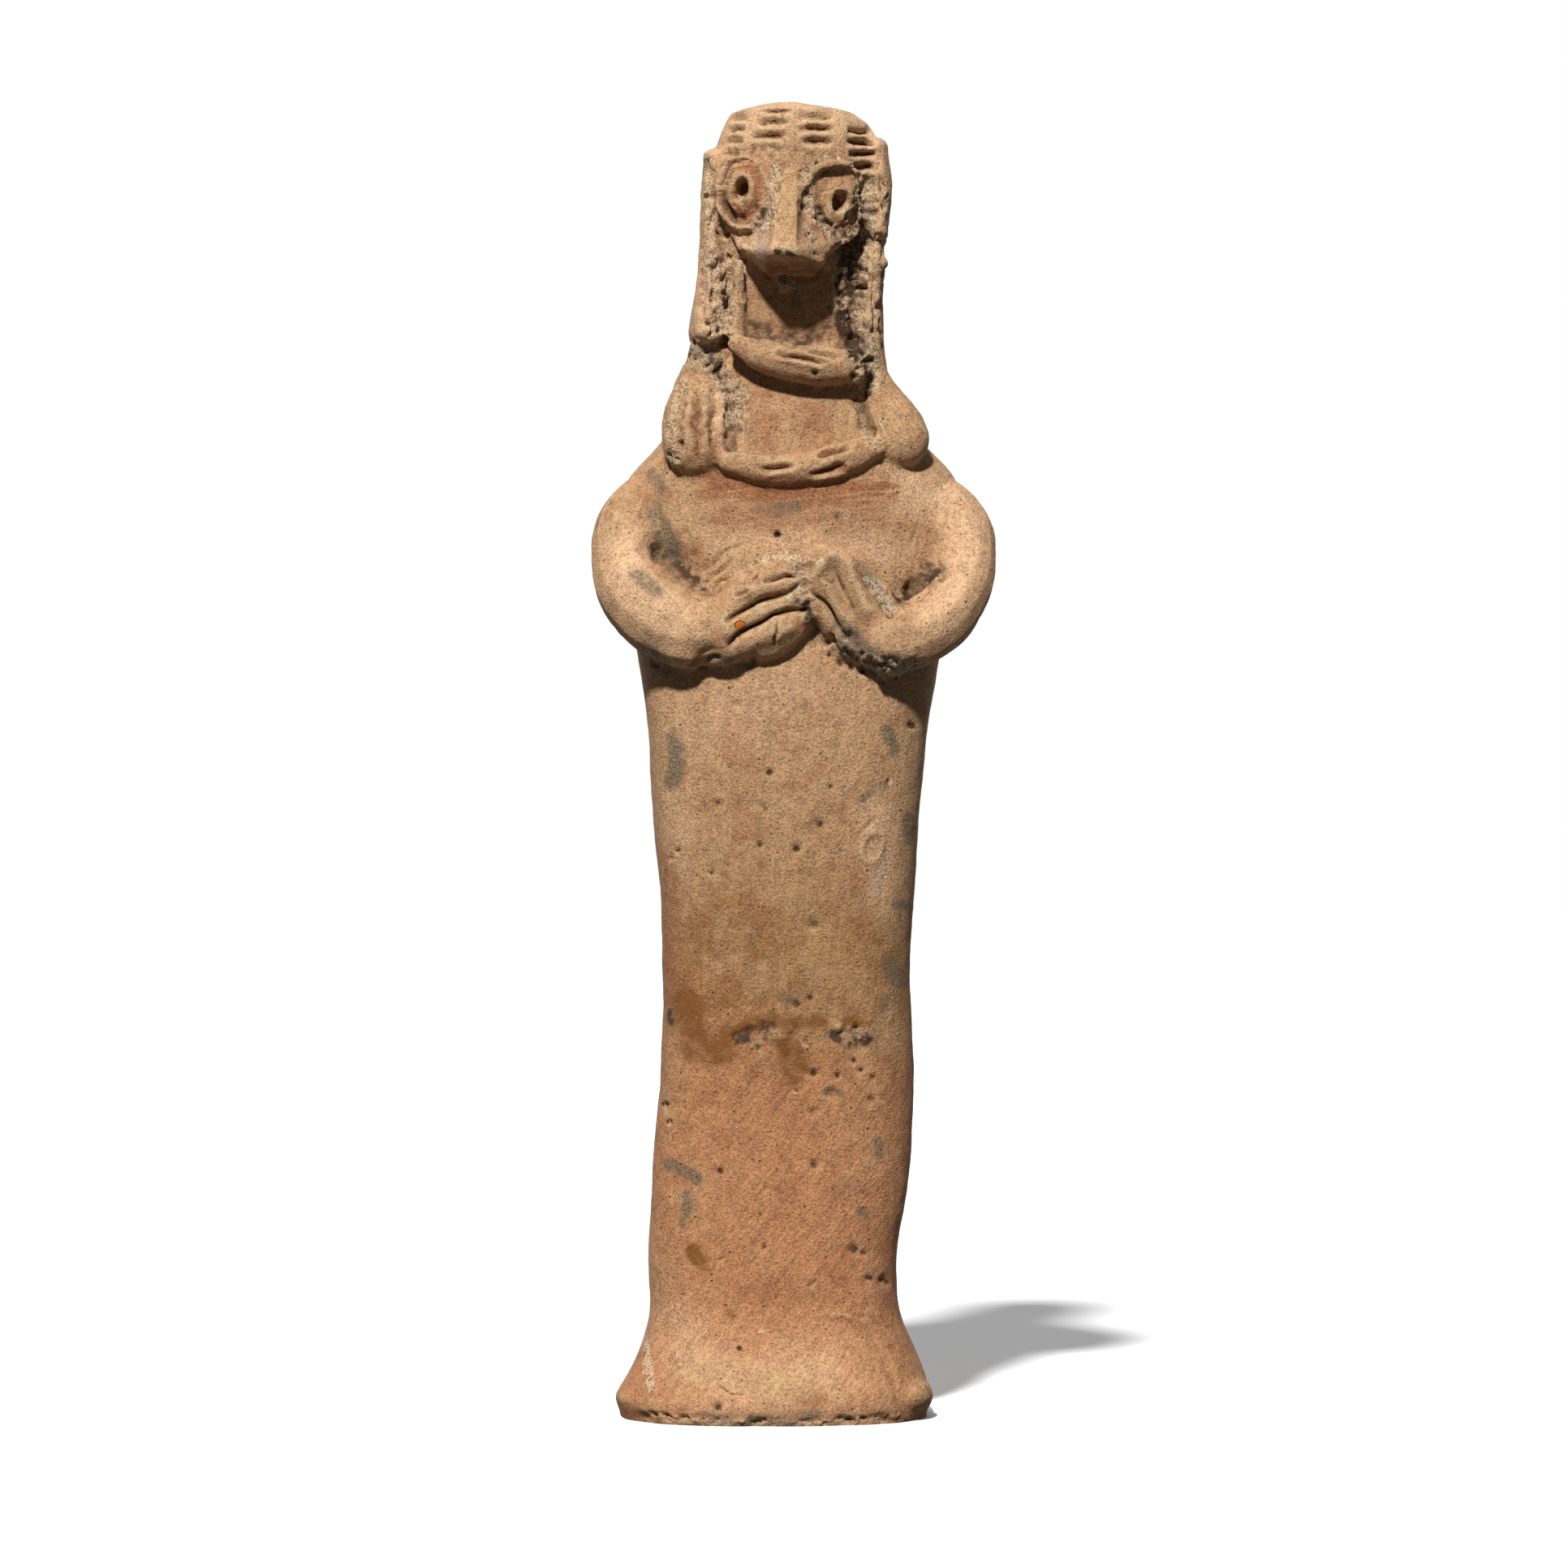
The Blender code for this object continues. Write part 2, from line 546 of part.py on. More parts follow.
def press_tools(mesh):
    """Presses the strokes and pupils in. It returns the numbers of the points in fine work."""
    count = len(mesh.vertices)
    points = np.empty(count * 3, np.float32)
    mesh.vertices.foreach_get("co", points)
    points = points.reshape(-1, 3).astype(float)
    normals = np.empty(count * 3, np.float32)
    mesh.vertices.foreach_get("normal", normals)
    normals = normals.reshape(-1, 3)
    fine = np.zeros(count, bool)
    for stroke in (*headdress_strokes(), *COLLAR_SLASHES):
        fine |= press_stroke(points, normals, stroke, STROKE_WIDTH, STROKE_DEPTH)
    for stroke in FINGER_GROOVES:
        fine |= press_stroke(points, normals, stroke, FINGER_GROOVE_WIDTH, FINGER_GROOVE_DEPTH)
    for stroke in LOCK_GROOVES:
        fine |= press_stroke(points, normals, stroke, LOCK_GROOVE_WIDTH, LOCK_GROOVE_DEPTH)
    for stroke in EYE_GROOVES:
        fine |= press_stroke(points, normals, stroke, EYE_GROOVE_WIDTH, EYE_GROOVE_DEPTH)
    for stroke in ARM_HOLLOWS:
        press_stroke(points, normals, stroke, ARM_HOLLOW_WIDTH, ARM_HOLLOW_DEPTH)
    for eye in EYES:
        fine |= in_eye(points, normals, eye)
        press_pupil(points, normals, eye)
    mesh.vertices.foreach_set("co", points.astype(np.float32).ravel())
    mesh.update()
    return np.flatnonzero(fine).tolist()


def evaluated_copy(mesh, add_modifiers):
    """The mesh after modifiers, which add_modifiers puts on a passing object."""
    obj = bpy.data.objects.new("clay", mesh)
    bpy.context.scene.collection.objects.link(obj)
    add_modifiers(obj)
    graph = bpy.context.evaluated_depsgraph_get()
    result = bpy.data.meshes.new_from_object(obj.evaluated_get(graph))
    bpy.data.objects.remove(obj)
    bpy.data.meshes.remove(mesh)
    return result


def wipe(obj, passes):
    smooth = obj.modifiers.new("wipe", "SMOOTH")
    smooth.factor = 0.5
    smooth.iterations = passes


def fuse(obj):
    """Runs the lumps together into one surface and smooths it, as a wet hand does."""
    remesh = obj.modifiers.new("fuse", "REMESH")
    remesh.mode = "VOXEL"
    remesh.voxel_size = GRAIN
    wipe(obj, SMOOTHING_PASSES)


def thin_out(obj, fine):
    """Keeps faces where the form turns and in the fine work, and few where it is plain."""
    wipe(obj, PRESSED_SMOOTHING_PASSES)
    group = obj.vertex_groups.new(name="fine")
    group.add(fine, 1.0, "REPLACE")
    triangles = sum(len(face.vertices) - 2 for face in obj.data.polygons)
    everywhere = obj.modifiers.new("thin out everywhere", "DECIMATE")
    everywhere.ratio = FACES_BEFORE_FINE / triangles
    plain_clay = obj.modifiers.new("thin out plain clay", "DECIMATE")
    plain_clay.ratio = FACES_KEPT / FACES_BEFORE_FINE
    plain_clay.vertex_group = group.name
    plain_clay.invert_vertex_group = True
    plain_clay.vertex_group_factor = 0.0


def cut_underside(mesh):
    """Cuts the foot off flat at z = 0 and closes it with one flat face."""
    clay = bmesh.new()
    clay.from_mesh(mesh)
    everything = clay.verts[:] + clay.edges[:] + clay.faces[:]
    bmesh.ops.bisect_plane(clay, geom=everything, plane_co=(0, 0, 0), plane_no=(0, 0, 1), clear_inner=True)
    rim = [edge for edge in clay.edges if edge.is_boundary]
    rim_verts = list({vert for edge in rim for vert in edge.verts})
    bmesh.ops.remove_doubles(clay, verts=rim_verts, dist=RIM_MERGE)
    bmesh.ops.holes_fill(clay, edges=[edge for edge in clay.edges if edge.is_boundary])
    clay.to_mesh(mesh)
    clay.free()


def clay_material():
    material = bpy.data.materials.new("fired_clay")
    material.use_nodes = True
    shader = material.node_tree.nodes["Principled BSDF"]
    shader.inputs["Base Color"].default_value = CLAY_COLOUR
    shader.inputs["Roughness"].default_value = CLAY_ROUGHNESS
    shader.inputs["Metallic"].default_value = 0.0
    return material


def terracotta_figure(collection):
    clay = bmesh.new()
    trunk(clay)
    arms(clay)
    hair(clay)
    collars(clay)
    eyes(clay)
    beak(clay)
    foot_corners(clay)
    bmesh.ops.recalc_face_normals(clay, faces=clay.faces[:])
    lumps = bpy.data.meshes.new("lumps")
    clay.to_mesh(lumps)
    clay.free()
    mesh = evaluated_copy(lumps, fuse)
    fine = press_tools(mesh)
    mesh = evaluated_copy(mesh, lambda obj: thin_out(obj, fine))
    cut_underside(mesh)
    mesh.name = "terracotta_figure"
    mesh.materials.clear()
    mesh.materials.append(clay_material())
    mesh.shade_smooth()
    figure = bpy.data.objects.new("terracotta_figure", mesh)
    collection.objects.link(figure)


def main():
    for obj in list(bpy.data.objects):
        bpy.data.objects.remove(obj)
    collection = bpy.data.collections.new("terracotta figure")
    bpy.context.scene.collection.children.link(collection)
    terracotta_figure(collection)


main()
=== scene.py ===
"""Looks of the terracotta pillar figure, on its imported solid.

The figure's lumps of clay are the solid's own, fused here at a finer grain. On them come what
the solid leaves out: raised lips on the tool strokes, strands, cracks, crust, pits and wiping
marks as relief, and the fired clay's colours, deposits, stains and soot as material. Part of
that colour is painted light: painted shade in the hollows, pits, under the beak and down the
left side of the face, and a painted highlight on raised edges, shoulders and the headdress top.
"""

import math
from collections import namedtuple

import bmesh
import bpy
import numpy as np
from mathutils import Matrix, Vector


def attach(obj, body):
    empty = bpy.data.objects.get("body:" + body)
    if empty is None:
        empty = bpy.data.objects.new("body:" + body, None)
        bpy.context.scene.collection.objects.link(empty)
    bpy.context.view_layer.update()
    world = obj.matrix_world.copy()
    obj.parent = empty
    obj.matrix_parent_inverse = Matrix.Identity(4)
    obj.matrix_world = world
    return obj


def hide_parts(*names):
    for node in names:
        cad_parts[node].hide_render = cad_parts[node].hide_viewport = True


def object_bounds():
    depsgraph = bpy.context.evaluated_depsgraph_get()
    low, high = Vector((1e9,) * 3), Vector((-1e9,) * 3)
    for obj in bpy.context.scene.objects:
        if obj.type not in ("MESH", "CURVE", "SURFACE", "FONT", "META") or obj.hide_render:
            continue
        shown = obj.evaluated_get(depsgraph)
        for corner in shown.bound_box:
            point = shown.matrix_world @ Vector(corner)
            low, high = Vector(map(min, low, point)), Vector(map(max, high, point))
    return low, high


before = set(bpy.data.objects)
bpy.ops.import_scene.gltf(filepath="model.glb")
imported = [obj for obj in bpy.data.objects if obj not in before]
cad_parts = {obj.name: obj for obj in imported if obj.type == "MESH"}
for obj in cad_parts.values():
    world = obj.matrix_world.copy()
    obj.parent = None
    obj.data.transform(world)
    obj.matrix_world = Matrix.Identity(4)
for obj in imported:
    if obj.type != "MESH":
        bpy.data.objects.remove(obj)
cad_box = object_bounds()

# Driving dimensions, in metres
FIGURE_HEIGHT = 0.1615
SHOULDER_SPAN = 0.0503
FIGURE_DEPTH = 0.0290

# The relief: how far each applied piece stands out, and how deep each tool went in
NOSE_REACH = 0.0068
EYE_PROUD = 0.0013
EYE_RING_WIDTH = 0.0012
PUPIL_WIDTH = 0.0020
PUPIL_HEIGHT = 0.0029
PUPIL_DEPTH = 0.0022
LID_PROUD = 0.0017
UPPER_COLLAR_PROUD = 0.0037
LOWER_COLLAR_PROUD = 0.0017
HAIR_PROUD = 0.0014
NECK_HAIR_PROUD = 0.0021
LOCK_PROUD = 0.0034
FOREARM_PROUD = 0.0040
HAND_PROUD = 0.0038

# The clay's fineness: the grain of the fused surface, its smoothing, the faces left on it, and
# the height of the finest relief, which is the material's bump
GRAIN = 0.00027
SMOOTHING_PASSES = 9
FACES_KEPT = 190000
RIM_MERGE = 0.00002
BUMP_HEIGHT = 0.00024

# Places on the figure are shares of its three overall sizes. The tables count them in steps
# of 1/161.5 of the height, 1/50.3 of the shoulder span and 1/29 of the depth, so that a step
# is one millimetre at the real size. x runs to the figure's left hand, which is +X.
HEIGHT_STEPS = 161.5
SPAN_STEPS = 50.3
DEPTH_STEPS = 29.0
UP = FIGURE_HEIGHT / HEIGHT_STEPS
ACROSS = SHOULDER_SPAN / SPAN_STEPS
DEEP = FIGURE_DEPTH / DEPTH_STEPS
FOOT_CENTRE = -1.4


# Cross-sections of the trunk, foot to headdress: where its left and right sides and its front
# and back lie, and how square it is (2 is an ellipse)
Section = namedtuple("Section", "level left right front back square")
TRUNK = [Section(*row) for row in (
    (-2, -19.6, 17.2, 14.4, 12.6, 2.5), (0.3, -20.4, 18, 15.2, 13.4, 2.6),
    (2.4, -21, 18.2, 15.3, 13.5, 2.6), (5, -19.6, 17.7, 14.2, 12.6, 2.6),
    (8, -18.2, 16.6, 12.6, 11.6, 2.6), (12, -17.1, 15, 11.3, 10.7, 2.7),
    (18.5, -17, 14.4, 10.8, 10.2, 2.8), (29.5, -16.5, 15.8, 10.6, 10, 2.8),
    (42, -15.5, 16.2, 10.4, 9.9, 2.8), (54.5, -15.1, 16, 10.4, 9.9, 2.8),
    (66.5, -15.6, 16.7, 10.6, 10, 2.8), (78, -16.6, 17.5, 10.9, 10.2, 2.8),
    (89, -17.6, 18.9, 10.9, 10.4, 2.7), (96, -18.8, 20.2, 10.5, 10.3, 2.5),
    (102, -20.6, 22.6, 9.8, 10, 2.3), (108, -21.4, 23.4, 9.2, 9.6, 2.2),
    (112.5, -20.6, 22.6, 9, 9.2, 2.2), (115.6, -19.3, 21.3, 8.9, 9, 2.2),
    (118.6, -16.6, 18.6, 8.7, 8.8, 2.2), (122.5, -13.2, 14.8, 8.2, 8.6, 2.2),
    (127, -10.6, 11.8, 7.4, 8.2, 2.2), (133, -9.2, 10.6, 6.9, 8, 2.2),
    (139, -9.2, 10.6, 6.9, 8, 2.2), (144, -9.2, 11, 7.9, 8.2, 2.4),
    (149, -9.2, 11.6, 8.9, 8.4, 2.5), (154, -9, 11.8, 9.1, 8.3, 2.5),
    (157.3, -8.2, 11.8, 8.9, 7.9, 2.4), (159.6, -7, 9.9, 8.4, 7.2, 2.3),
    (160.9, -5.6, 6.8, 7.4, 6.2, 2.2), (161.5, -2.8, 2.8, 4.4, 3.8, 2),
)]
RING_STEP = 1.2
RING_POINTS = 56
DRAPE_SHARE = 0.93


def place(x, y, z):
    """A place counted in steps, as a point in metres."""
    return Vector(((x - FOOT_CENTRE) * ACROSS, y * DEEP, z * UP))


def smooth_between(levels, values, level):
    """The value at a level, on a smooth curve through the table's values."""
    slopes = np.gradient(values, levels)
    low = np.clip(np.searchsorted(levels, level) - 1, 0, len(levels) - 2)
    gap = levels[low + 1] - levels[low]
    share = np.clip((level - levels[low]) / gap, 0.0, 1.0)
    ease = share * share * (3.0 - 2.0 * share)
    leaving = slopes[low] * gap * share * (1.0 - share) ** 2
    arriving = slopes[low + 1] * gap * (1.0 - share) * share**2
    return values[low] * (1.0 - ease) + values[low + 1] * ease + leaving - arriving


def section_at(level):
    levels = np.array([section.level for section in TRUNK])
    columns = np.array([section[1:] for section in TRUNK]).T
    return [float(smooth_between(levels, column, level)) for column in columns]


def trunk_front(x, level):
    """How far forward the trunk's front is, in steps of depth, before anything is applied."""
    left, right, front, _, square = section_at(level)
    across = abs(x - (left + right) / 2) / ((right - left) / 2)
    across = min(across, DRAPE_SHARE)
    return -front * (1.0 - across**square) ** (1.0 / square)


def signed_power(value, power):
    return math.copysign(abs(value) ** power, value)


def trunk_ring(level):
    left, right, front, back, square = section_at(level)
    ring = []
    for index in range(RING_POINTS):
        angle = 2 * math.pi * index / RING_POINTS
        x = (left + right) / 2 + (right - left) / 2 * signed_power(math.cos(angle), 2 / square)
        depth = signed_power(math.sin(angle), 2 / square)
        ring.append(place(x, depth * (back if depth > 0 else front), level))
    return ring


def trunk(clay):
    """The pillar body, neck and head: a loft through the table's unlike sections."""
    first = TRUNK[0].level
    last = TRUNK[-1].level
    count = round((last - first) / RING_STEP)
    rings = []
    for index in range(count + 1):
        level = first + (last - first) * index / count
        rings.append([clay.verts.new(point) for point in trunk_ring(level)])
    for below, above in zip(rings, rings[1:]):
        for index in range(RING_POINTS):
            after = (index + 1) % RING_POINTS
            clay.faces.new((below[index], below[after], above[after], above[index]))
    clay.faces.new(reversed(rings[0]))
    clay.faces.new(rings[-1])


# How finely a pellet, an eye's pressed pellet, a ring and a roll are drawn before they are fused
BALL = {"u_segments": 24, "v_segments": 16, "radius": 1.0}
PRESSED_BALL = {"u_segments": 32, "v_segments": 24, "radius": 1.0}
RING = {"major_segments": 32, "minor_segments": 10, "major_radius": 1.0}
ROLL_ROUNDNESS = 4
ROLL_PIECES = 8


def swung(centre, turn, sizes):
    """Sizes a form, swings it about Z and moves it to its centre."""
    return Matrix.Translation(centre) @ Matrix.Rotation(turn, 4, "Z") @ Matrix.Diagonal((*sizes, 1))


def pellet(clay, centre, half_sizes, turn=0.0):
    """A flattened ball of clay. Its half sizes are in metres, and turn swings it about Z."""
    bmesh.ops.create_uvsphere(clay, matrix=swung(centre, turn, half_sizes), **BALL)


def put_in_scene(name, data):
    obj = bpy.data.objects.new(name, data)
    bpy.context.scene.collection.objects.link(obj)
    return obj


def final_mesh(obj):
    """The object's mesh with its modifiers. The object is removed."""
    graph = bpy.context.evaluated_depsgraph_get()
    mesh = bpy.data.meshes.new_from_object(obj.evaluated_get(graph))
    bpy.data.objects.remove(obj)
    return mesh


def take_mesh(clay, obj):
    """Adds an object's final mesh to the clay, where the object stands."""
    matrix = obj.matrix_world.copy()
    mesh = final_mesh(obj)
    mesh.transform(matrix)
    clay.from_mesh(mesh)
    bpy.data.meshes.remove(mesh)


def roll(clay, path, flatness):
    """A roll along a path of (x, y, z, half width). It is flatness times as thick as it is wide."""
    squash = flatness * DEEP / ACROSS
    curve = bpy.data.curves.new("roll", "CURVE")
    curve.dimensions = "3D"
    curve.bevel_depth = 1.0
    curve.bevel_resolution = ROLL_ROUNDNESS
    curve.use_fill_caps = True
    spline = curve.splines.new("BEZIER")
    spline.resolution_u = ROLL_PIECES
    spline.radius_interpolation = "CARDINAL"
    spline.bezier_points.add(len(path) - 1)
    for point, (x, y, z, half_width) in zip(spline.bezier_points, path):
        spot = place(x, y, z)
        point.co = (spot.x, spot.y / squash, spot.z)
        point.radius = half_width * ACROSS
        point.handle_left_type = "AUTO"
        point.handle_right_type = "AUTO"
    obj = put_in_scene("roll", curve)
    obj.scale.y = squash
    bpy.context.view_layer.update()
    take_mesh(clay, obj)
    for x, y, z, half_width in (path[0], path[-1]):
        radius = half_width * ACROSS
        pellet(clay, place(x, y, z), (radius, radius * squash, radius))


def applied_roll(clay, path, proud, flatness):
    """A roll along (x, z, half width) pressed on to the trunk, standing proud of its front."""
    lift = proud / DEEP
    laid = []
    for x, z, half_width in path:
        y = trunk_front(x, z) - lift + half_width * flatness
        laid.append((x, y, z, half_width))
    roll(clay, laid, flatness)


def ring_of_clay(clay, centre, half_width, half_height, thickness, turn):
    """A closed ring of round clay, standing upright and swung about Z to face outwards."""
    bpy.ops.mesh.primitive_torus_add(minor_radius=thickness / half_width / 2, **RING)
    obj = bpy.context.object
    upright = Matrix.Rotation(math.pi / 2, 4, "X")
    obj.matrix_world = swung(centre, turn, (half_width, half_width, half_height)) @ upright
    bpy.context.view_layer.update()
    take_mesh(clay, obj)


def wedge(clay, corners):
    """A solid of pinched clay: the hull of its corners."""
    verts = [clay.verts.new(place(*corner)) for corner in corners]
    result = bmesh.ops.convex_hull(clay, input=verts)
    loose = [item for item in result["geom_interior"] if isinstance(item, bmesh.types.BMVert)]
    bmesh.ops.delete(clay, geom=loose, context="VERTS")


# Arms: rolls from the shoulders, out over the elbows and in to hands that meet on the chest
RIGHT_ARM = (
    (-13.9, -1, 113, 4.7), (-17.7, -2.4, 110.2, 5), (-18.9, -5, 104.8, 5), (-16.2, -8.2, 99.4, 5.4),
    (-11.8, -9.9, 96.6, 5.1), (-7.4, -10.7, 96.3, 4.3),
)
LEFT_ARM = (
    (15.4, -1, 112.8, 4.6), (20.6, -2.4, 109.8, 4.7), (22.2, -4.8, 105.2, 4.4),
    (20.8, -7.6, 100.4, 4.5), (17.4, -9.6, 96.6, 4.5), (13.2, -10.7, 95.2, 4.4),
)
ARM_FLATNESS = 0.84
RIGHT_HAND = ((-7.4, 96.4, 4.2), (-3.6, 97.8, 5.9), (-0.4, 99.7, 5.6), (2, 101.2, 4.5))
LEFT_HAND = ((13.4, 95.4, 4.4), (10.1, 97.6, 5.2), (7.4, 100.3, 5), (5.1, 102.6, 4.3))
HAND_FLATNESS = 0.56


def arms(clay):
    for arm in (RIGHT_ARM, LEFT_ARM):
        roll(clay, arm, ARM_FLATNESS)
        forearm = [(x, z, half_width) for x, _, z, half_width in arm[3:]]
        applied_roll(clay, forearm, FOREARM_PROUD, ARM_FLATNESS)
    for hand in (RIGHT_HAND, LEFT_HAND):
        applied_roll(clay, hand, HAND_PROUD, HAND_FLATNESS)


# Hair: a thick roll down each side of the head with thinner strands before it, below it a lock
# lying on the shoulder, and a plain flat mass down the back of the neck
RIGHT_HAIR = (
    (-8.7, -2.6, 154.4, 1.5), (-8.9, -2.8, 147.6, 1.7), (-8.8, -3, 140, 2), (-9.3, -3.2, 133, 2.6),
)
LEFT_HAIR = (
    (11.6, -2.6, 155.6, 1.7), (11.9, -2.8, 150.6, 1.9), (11, -3, 142, 1.6), (10.6, -2.4, 128.6, 2),
)
SIDE_HAIR_FLATNESS = 2.0
STRANDS = (
    ((-8.3, 154.2, 1.3), (-8.6, 147.6, 1.5), (-8.7, 141.0, 1.6)),
    ((-8.8, 134.0, 2.4), (-8.6, 130.0, 2.8)),
    ((11.0, 155.4, 1.4), (11.3, 150.4, 1.7), (10.9, 145.0, 1.5)),
    ((10.4, 145.6, 1.5), (9.6, 139.6, 1.7), (9.4, 134.6, 1.8), (10.0, 130.0, 2.0)),
    ((11.0, 137.0, 1.3), (10.9, 132.0, 1.7), (11.3, 127.6, 1.9)),
)
STRAND_FLATNESS = 0.85
NECK_STRAND = ((-5.5, 141, 0.7), (-5.5, 137.7, 1), (-5.7, 132.8, 1.3), (-5.4, 131, 1.3))
RIGHT_LOCK = ((-9.2, 130.4, 2.7), (-9.9, 126.4, 3.6), (-10.4, 122, 4.7), (-10.5, 119.6, 4.8))
LEFT_LOCK = ((10.2, 130, 2.2), (11.3, 126.2, 2.7), (13.4, 121.8, 3.8), (14.4, 119.8, 3.8))
LOCK_FLATNESS = 0.75
BACK_HAIR = (
    (1.2, 4.2, 150.6, 7.2), (1.2, 4.2, 144, 8.6), (0.8, 4.2, 134, 9.2), (0.6, 4.4, 125, 9.4),
)
BACK_HAIR_FLATNESS = 0.6


def hair(clay):
    for side in (RIGHT_HAIR, LEFT_HAIR):
        roll(clay, side, SIDE_HAIR_FLATNESS)
    for strand in STRANDS:
        applied_roll(clay, strand, HAIR_PROUD, STRAND_FLATNESS)
    applied_roll(clay, NECK_STRAND, NECK_HAIR_PROUD, STRAND_FLATNESS)
    for lock in (RIGHT_LOCK, LEFT_LOCK):
        applied_roll(clay, lock, LOCK_PROUD, LOCK_FLATNESS)
    roll(clay, BACK_HAIR, BACK_HAIR_FLATNESS)


# Collars: a thick strip round the throat, and a low band on the chest between the locks
UPPER_COLLAR = (
    (-5.6, 131.2, 1.5), (-3.2, 130, 2.2), (1, 128.9, 2.5), (4.9, 128.5, 2.6), (8.4, 128.6, 2.3),
)
LOWER_COLLAR = (
    (-6.6, 117, 1.6), (-2, 115.9, 2), (3.8, 116.4, 2.2), (8.4, 117.6, 2.2), (10.8, 118.8, 1.8),
)
UPPER_COLLAR_FLATNESS = 0.9
LOWER_COLLAR_FLATNESS = 0.7


def collars(clay):
    applied_roll(clay, UPPER_COLLAR, UPPER_COLLAR_PROUD, UPPER_COLLAR_FLATNESS)
    applied_roll(clay, LOWER_COLLAR, LOWER_COLLAR_PROUD, LOWER_COLLAR_FLATNESS)


# Eyes: a pellet pressed flat inside a ring, with a hole poked in for the pupil, clay packed
# under the ring where the face falls away from it, and a thick lid over the left one
Eye = namedtuple("Eye", "x z half_width half_height turn pupil_x pupil_z")
EYES = (
    Eye(-5.1, 150.2, 2.8, 3.5, math.radians(-18), -5.2, 150.1),
    Eye(6.7, 148.4, 3.0, 3.7, math.radians(22), 7.2, 148.7),
)
RING_OVER_EYE_WIDTH = 1.15
RING_OVER_EYE_HEIGHT = 1.18
RING_DROP = 0.45
RING_LIFT = 0.25
PACKING_WIDTH = 1.3
PACKING_DEPTH = 1.4
PACKING_OVER_RING = 0.75
EYE_THICKNESS = 2.0
EYE_ROUNDNESS = 0.5
LID = ((2.9, 150.4, 0.75), (3.8, 152.2, 0.9), (6, 153.1, 0.95), (8.2, 153, 0.8))
LID_FLATNESS = 1.0


def flat_pellet(clay, centre, half_sizes, turn):
    """A pellet of clay pressed almost flat, with a round edge. Sizes are as in pellet."""
    ball = bmesh.ops.create_uvsphere(clay, **PRESSED_BALL)
    for vert in ball["verts"]:
        vert.co.y = signed_power(vert.co.y, EYE_ROUNDNESS)
    bmesh.ops.transform(clay, matrix=swung(centre, turn, half_sizes), verts=ball["verts"])


def eyes(clay):
    for eye in EYES:
        front = trunk_front(eye.x, eye.z)
        half_width = eye.half_width * ACROSS
        half_height = eye.half_height * UP
        depth = EYE_THICKNESS * DEEP
        centre = place(eye.x, front, eye.z) + Vector((0.0, depth - EYE_PROUD, 0.0))
        flat_pellet(clay, centre, (half_width, depth, half_height), eye.turn)
        ring_centre = place(eye.x, front - RING_LIFT, eye.z - RING_DROP)
        width = half_width * RING_OVER_EYE_WIDTH
        height = half_height * RING_OVER_EYE_HEIGHT
        ring_of_clay(clay, ring_centre, width, height, EYE_RING_WIDTH, eye.turn)
        outer_side = math.copysign(width, eye.turn)
        under_ring = Vector((outer_side, PACKING_DEPTH * DEEP, 0.0))
        packing = ring_centre + Matrix.Rotation(eye.turn, 3, "Z") @ under_ring
        sizes = (PACKING_WIDTH * ACROSS, PACKING_DEPTH * DEEP, height * PACKING_OVER_RING)
        pellet(clay, packing, sizes, eye.turn)
    applied_roll(clay, LID, LID_PROUD, LID_FLATNESS)


# The face: a shield that overhangs the throat, and the beak pinched out of its middle: a flat
# ridge that widens to a blunt tip, and lower down the wings beside it, with a slanting
# underside. The beak's corners are (x, share of its reach, z).
FACE_LEVEL = 150.0
SHIELD = (
    (-7, 150), (-7, 145), (-5.4, 142.6), (-2.6, 140.9), (4.6, 140.9), (7, 143), (8.8, 145.6),
    (9, 150),
)
SHIELD_DEPTH = 4.0
RIDGE_X = 0.8
TIP = ((-1.5, 1.0, 142.1), (1.7, 1.0, 142.1), (-1.4, 0.95, 141.3), (1.6, 0.95, 141.3))
RIDGE = (*TIP, (0.2, 0.08, 152.6), (1.6, 0.08, 152.6), (-0.1, 0.46, 147.6), (1.5, 0.46, 147.6))
RIDGE_ROOTS = ((-1, 0, 152), (2.4, 0, 152), (-2.2, 0, 147.4), (2.7, 0, 147))
WINGS = (*TIP, (-2.4, 0.5, 140.5), (4.6, 0.48, 140.7), (-5.4, 0.02, 142.8), (6.8, 0.05, 143.2))
WING_TOPS = ((-1.7, 0.14, 147.0), (2.5, 0.14, 147.0))
UNDERSIDE = ((-1.8, 0.15, 139.4), (4.0, 0.15, 139.3))
BEAK_ROOT_SHARE = 0.9
CHIN_KNOB = (0.2, 138.4, 1.1)
CHIN_KNOB_LIFT = 0.3


def beak(clay):
    reach = NOSE_REACH / DEEP
    face = trunk_front(RIDGE_X, FACE_LEVEL)
    shield = []
    for x, z in SHIELD:
        front = trunk_front(x, FACE_LEVEL)
        shield.append((x, front, z))
        shield.append((x, front + SHIELD_DEPTH, z))
    wedge(clay, shield)
    for form in ((*RIDGE, *RIDGE_ROOTS), (*WINGS, *WING_TOPS, *UNDERSIDE)):
        pinched = []
        for x, share, z in form:
            pinched.append((x, face - share * reach, z))
            pinched.append((RIDGE_X + (x - RIDGE_X) * BEAK_ROOT_SHARE, face + SHIELD_DEPTH, z))
        wedge(clay, pinched)
    x, z, half_width = CHIN_KNOB
    knob = place(x, trunk_front(x, z) - half_width * CHIN_KNOB_LIFT, z)
    pellet(clay, knob, (half_width * ACROSS, half_width * DEEP, half_width * UP))


# The foot's corners: a thin flare at the figure's right, a rounded lump at its left
RIGHT_FLARE = ((-17.6, -1.5, 2.4), (3.4, 8.5, 2.2))
LEFT_LUMP = ((14.9, -4.5, 2.8), (3.7, 6.0, 3.0))


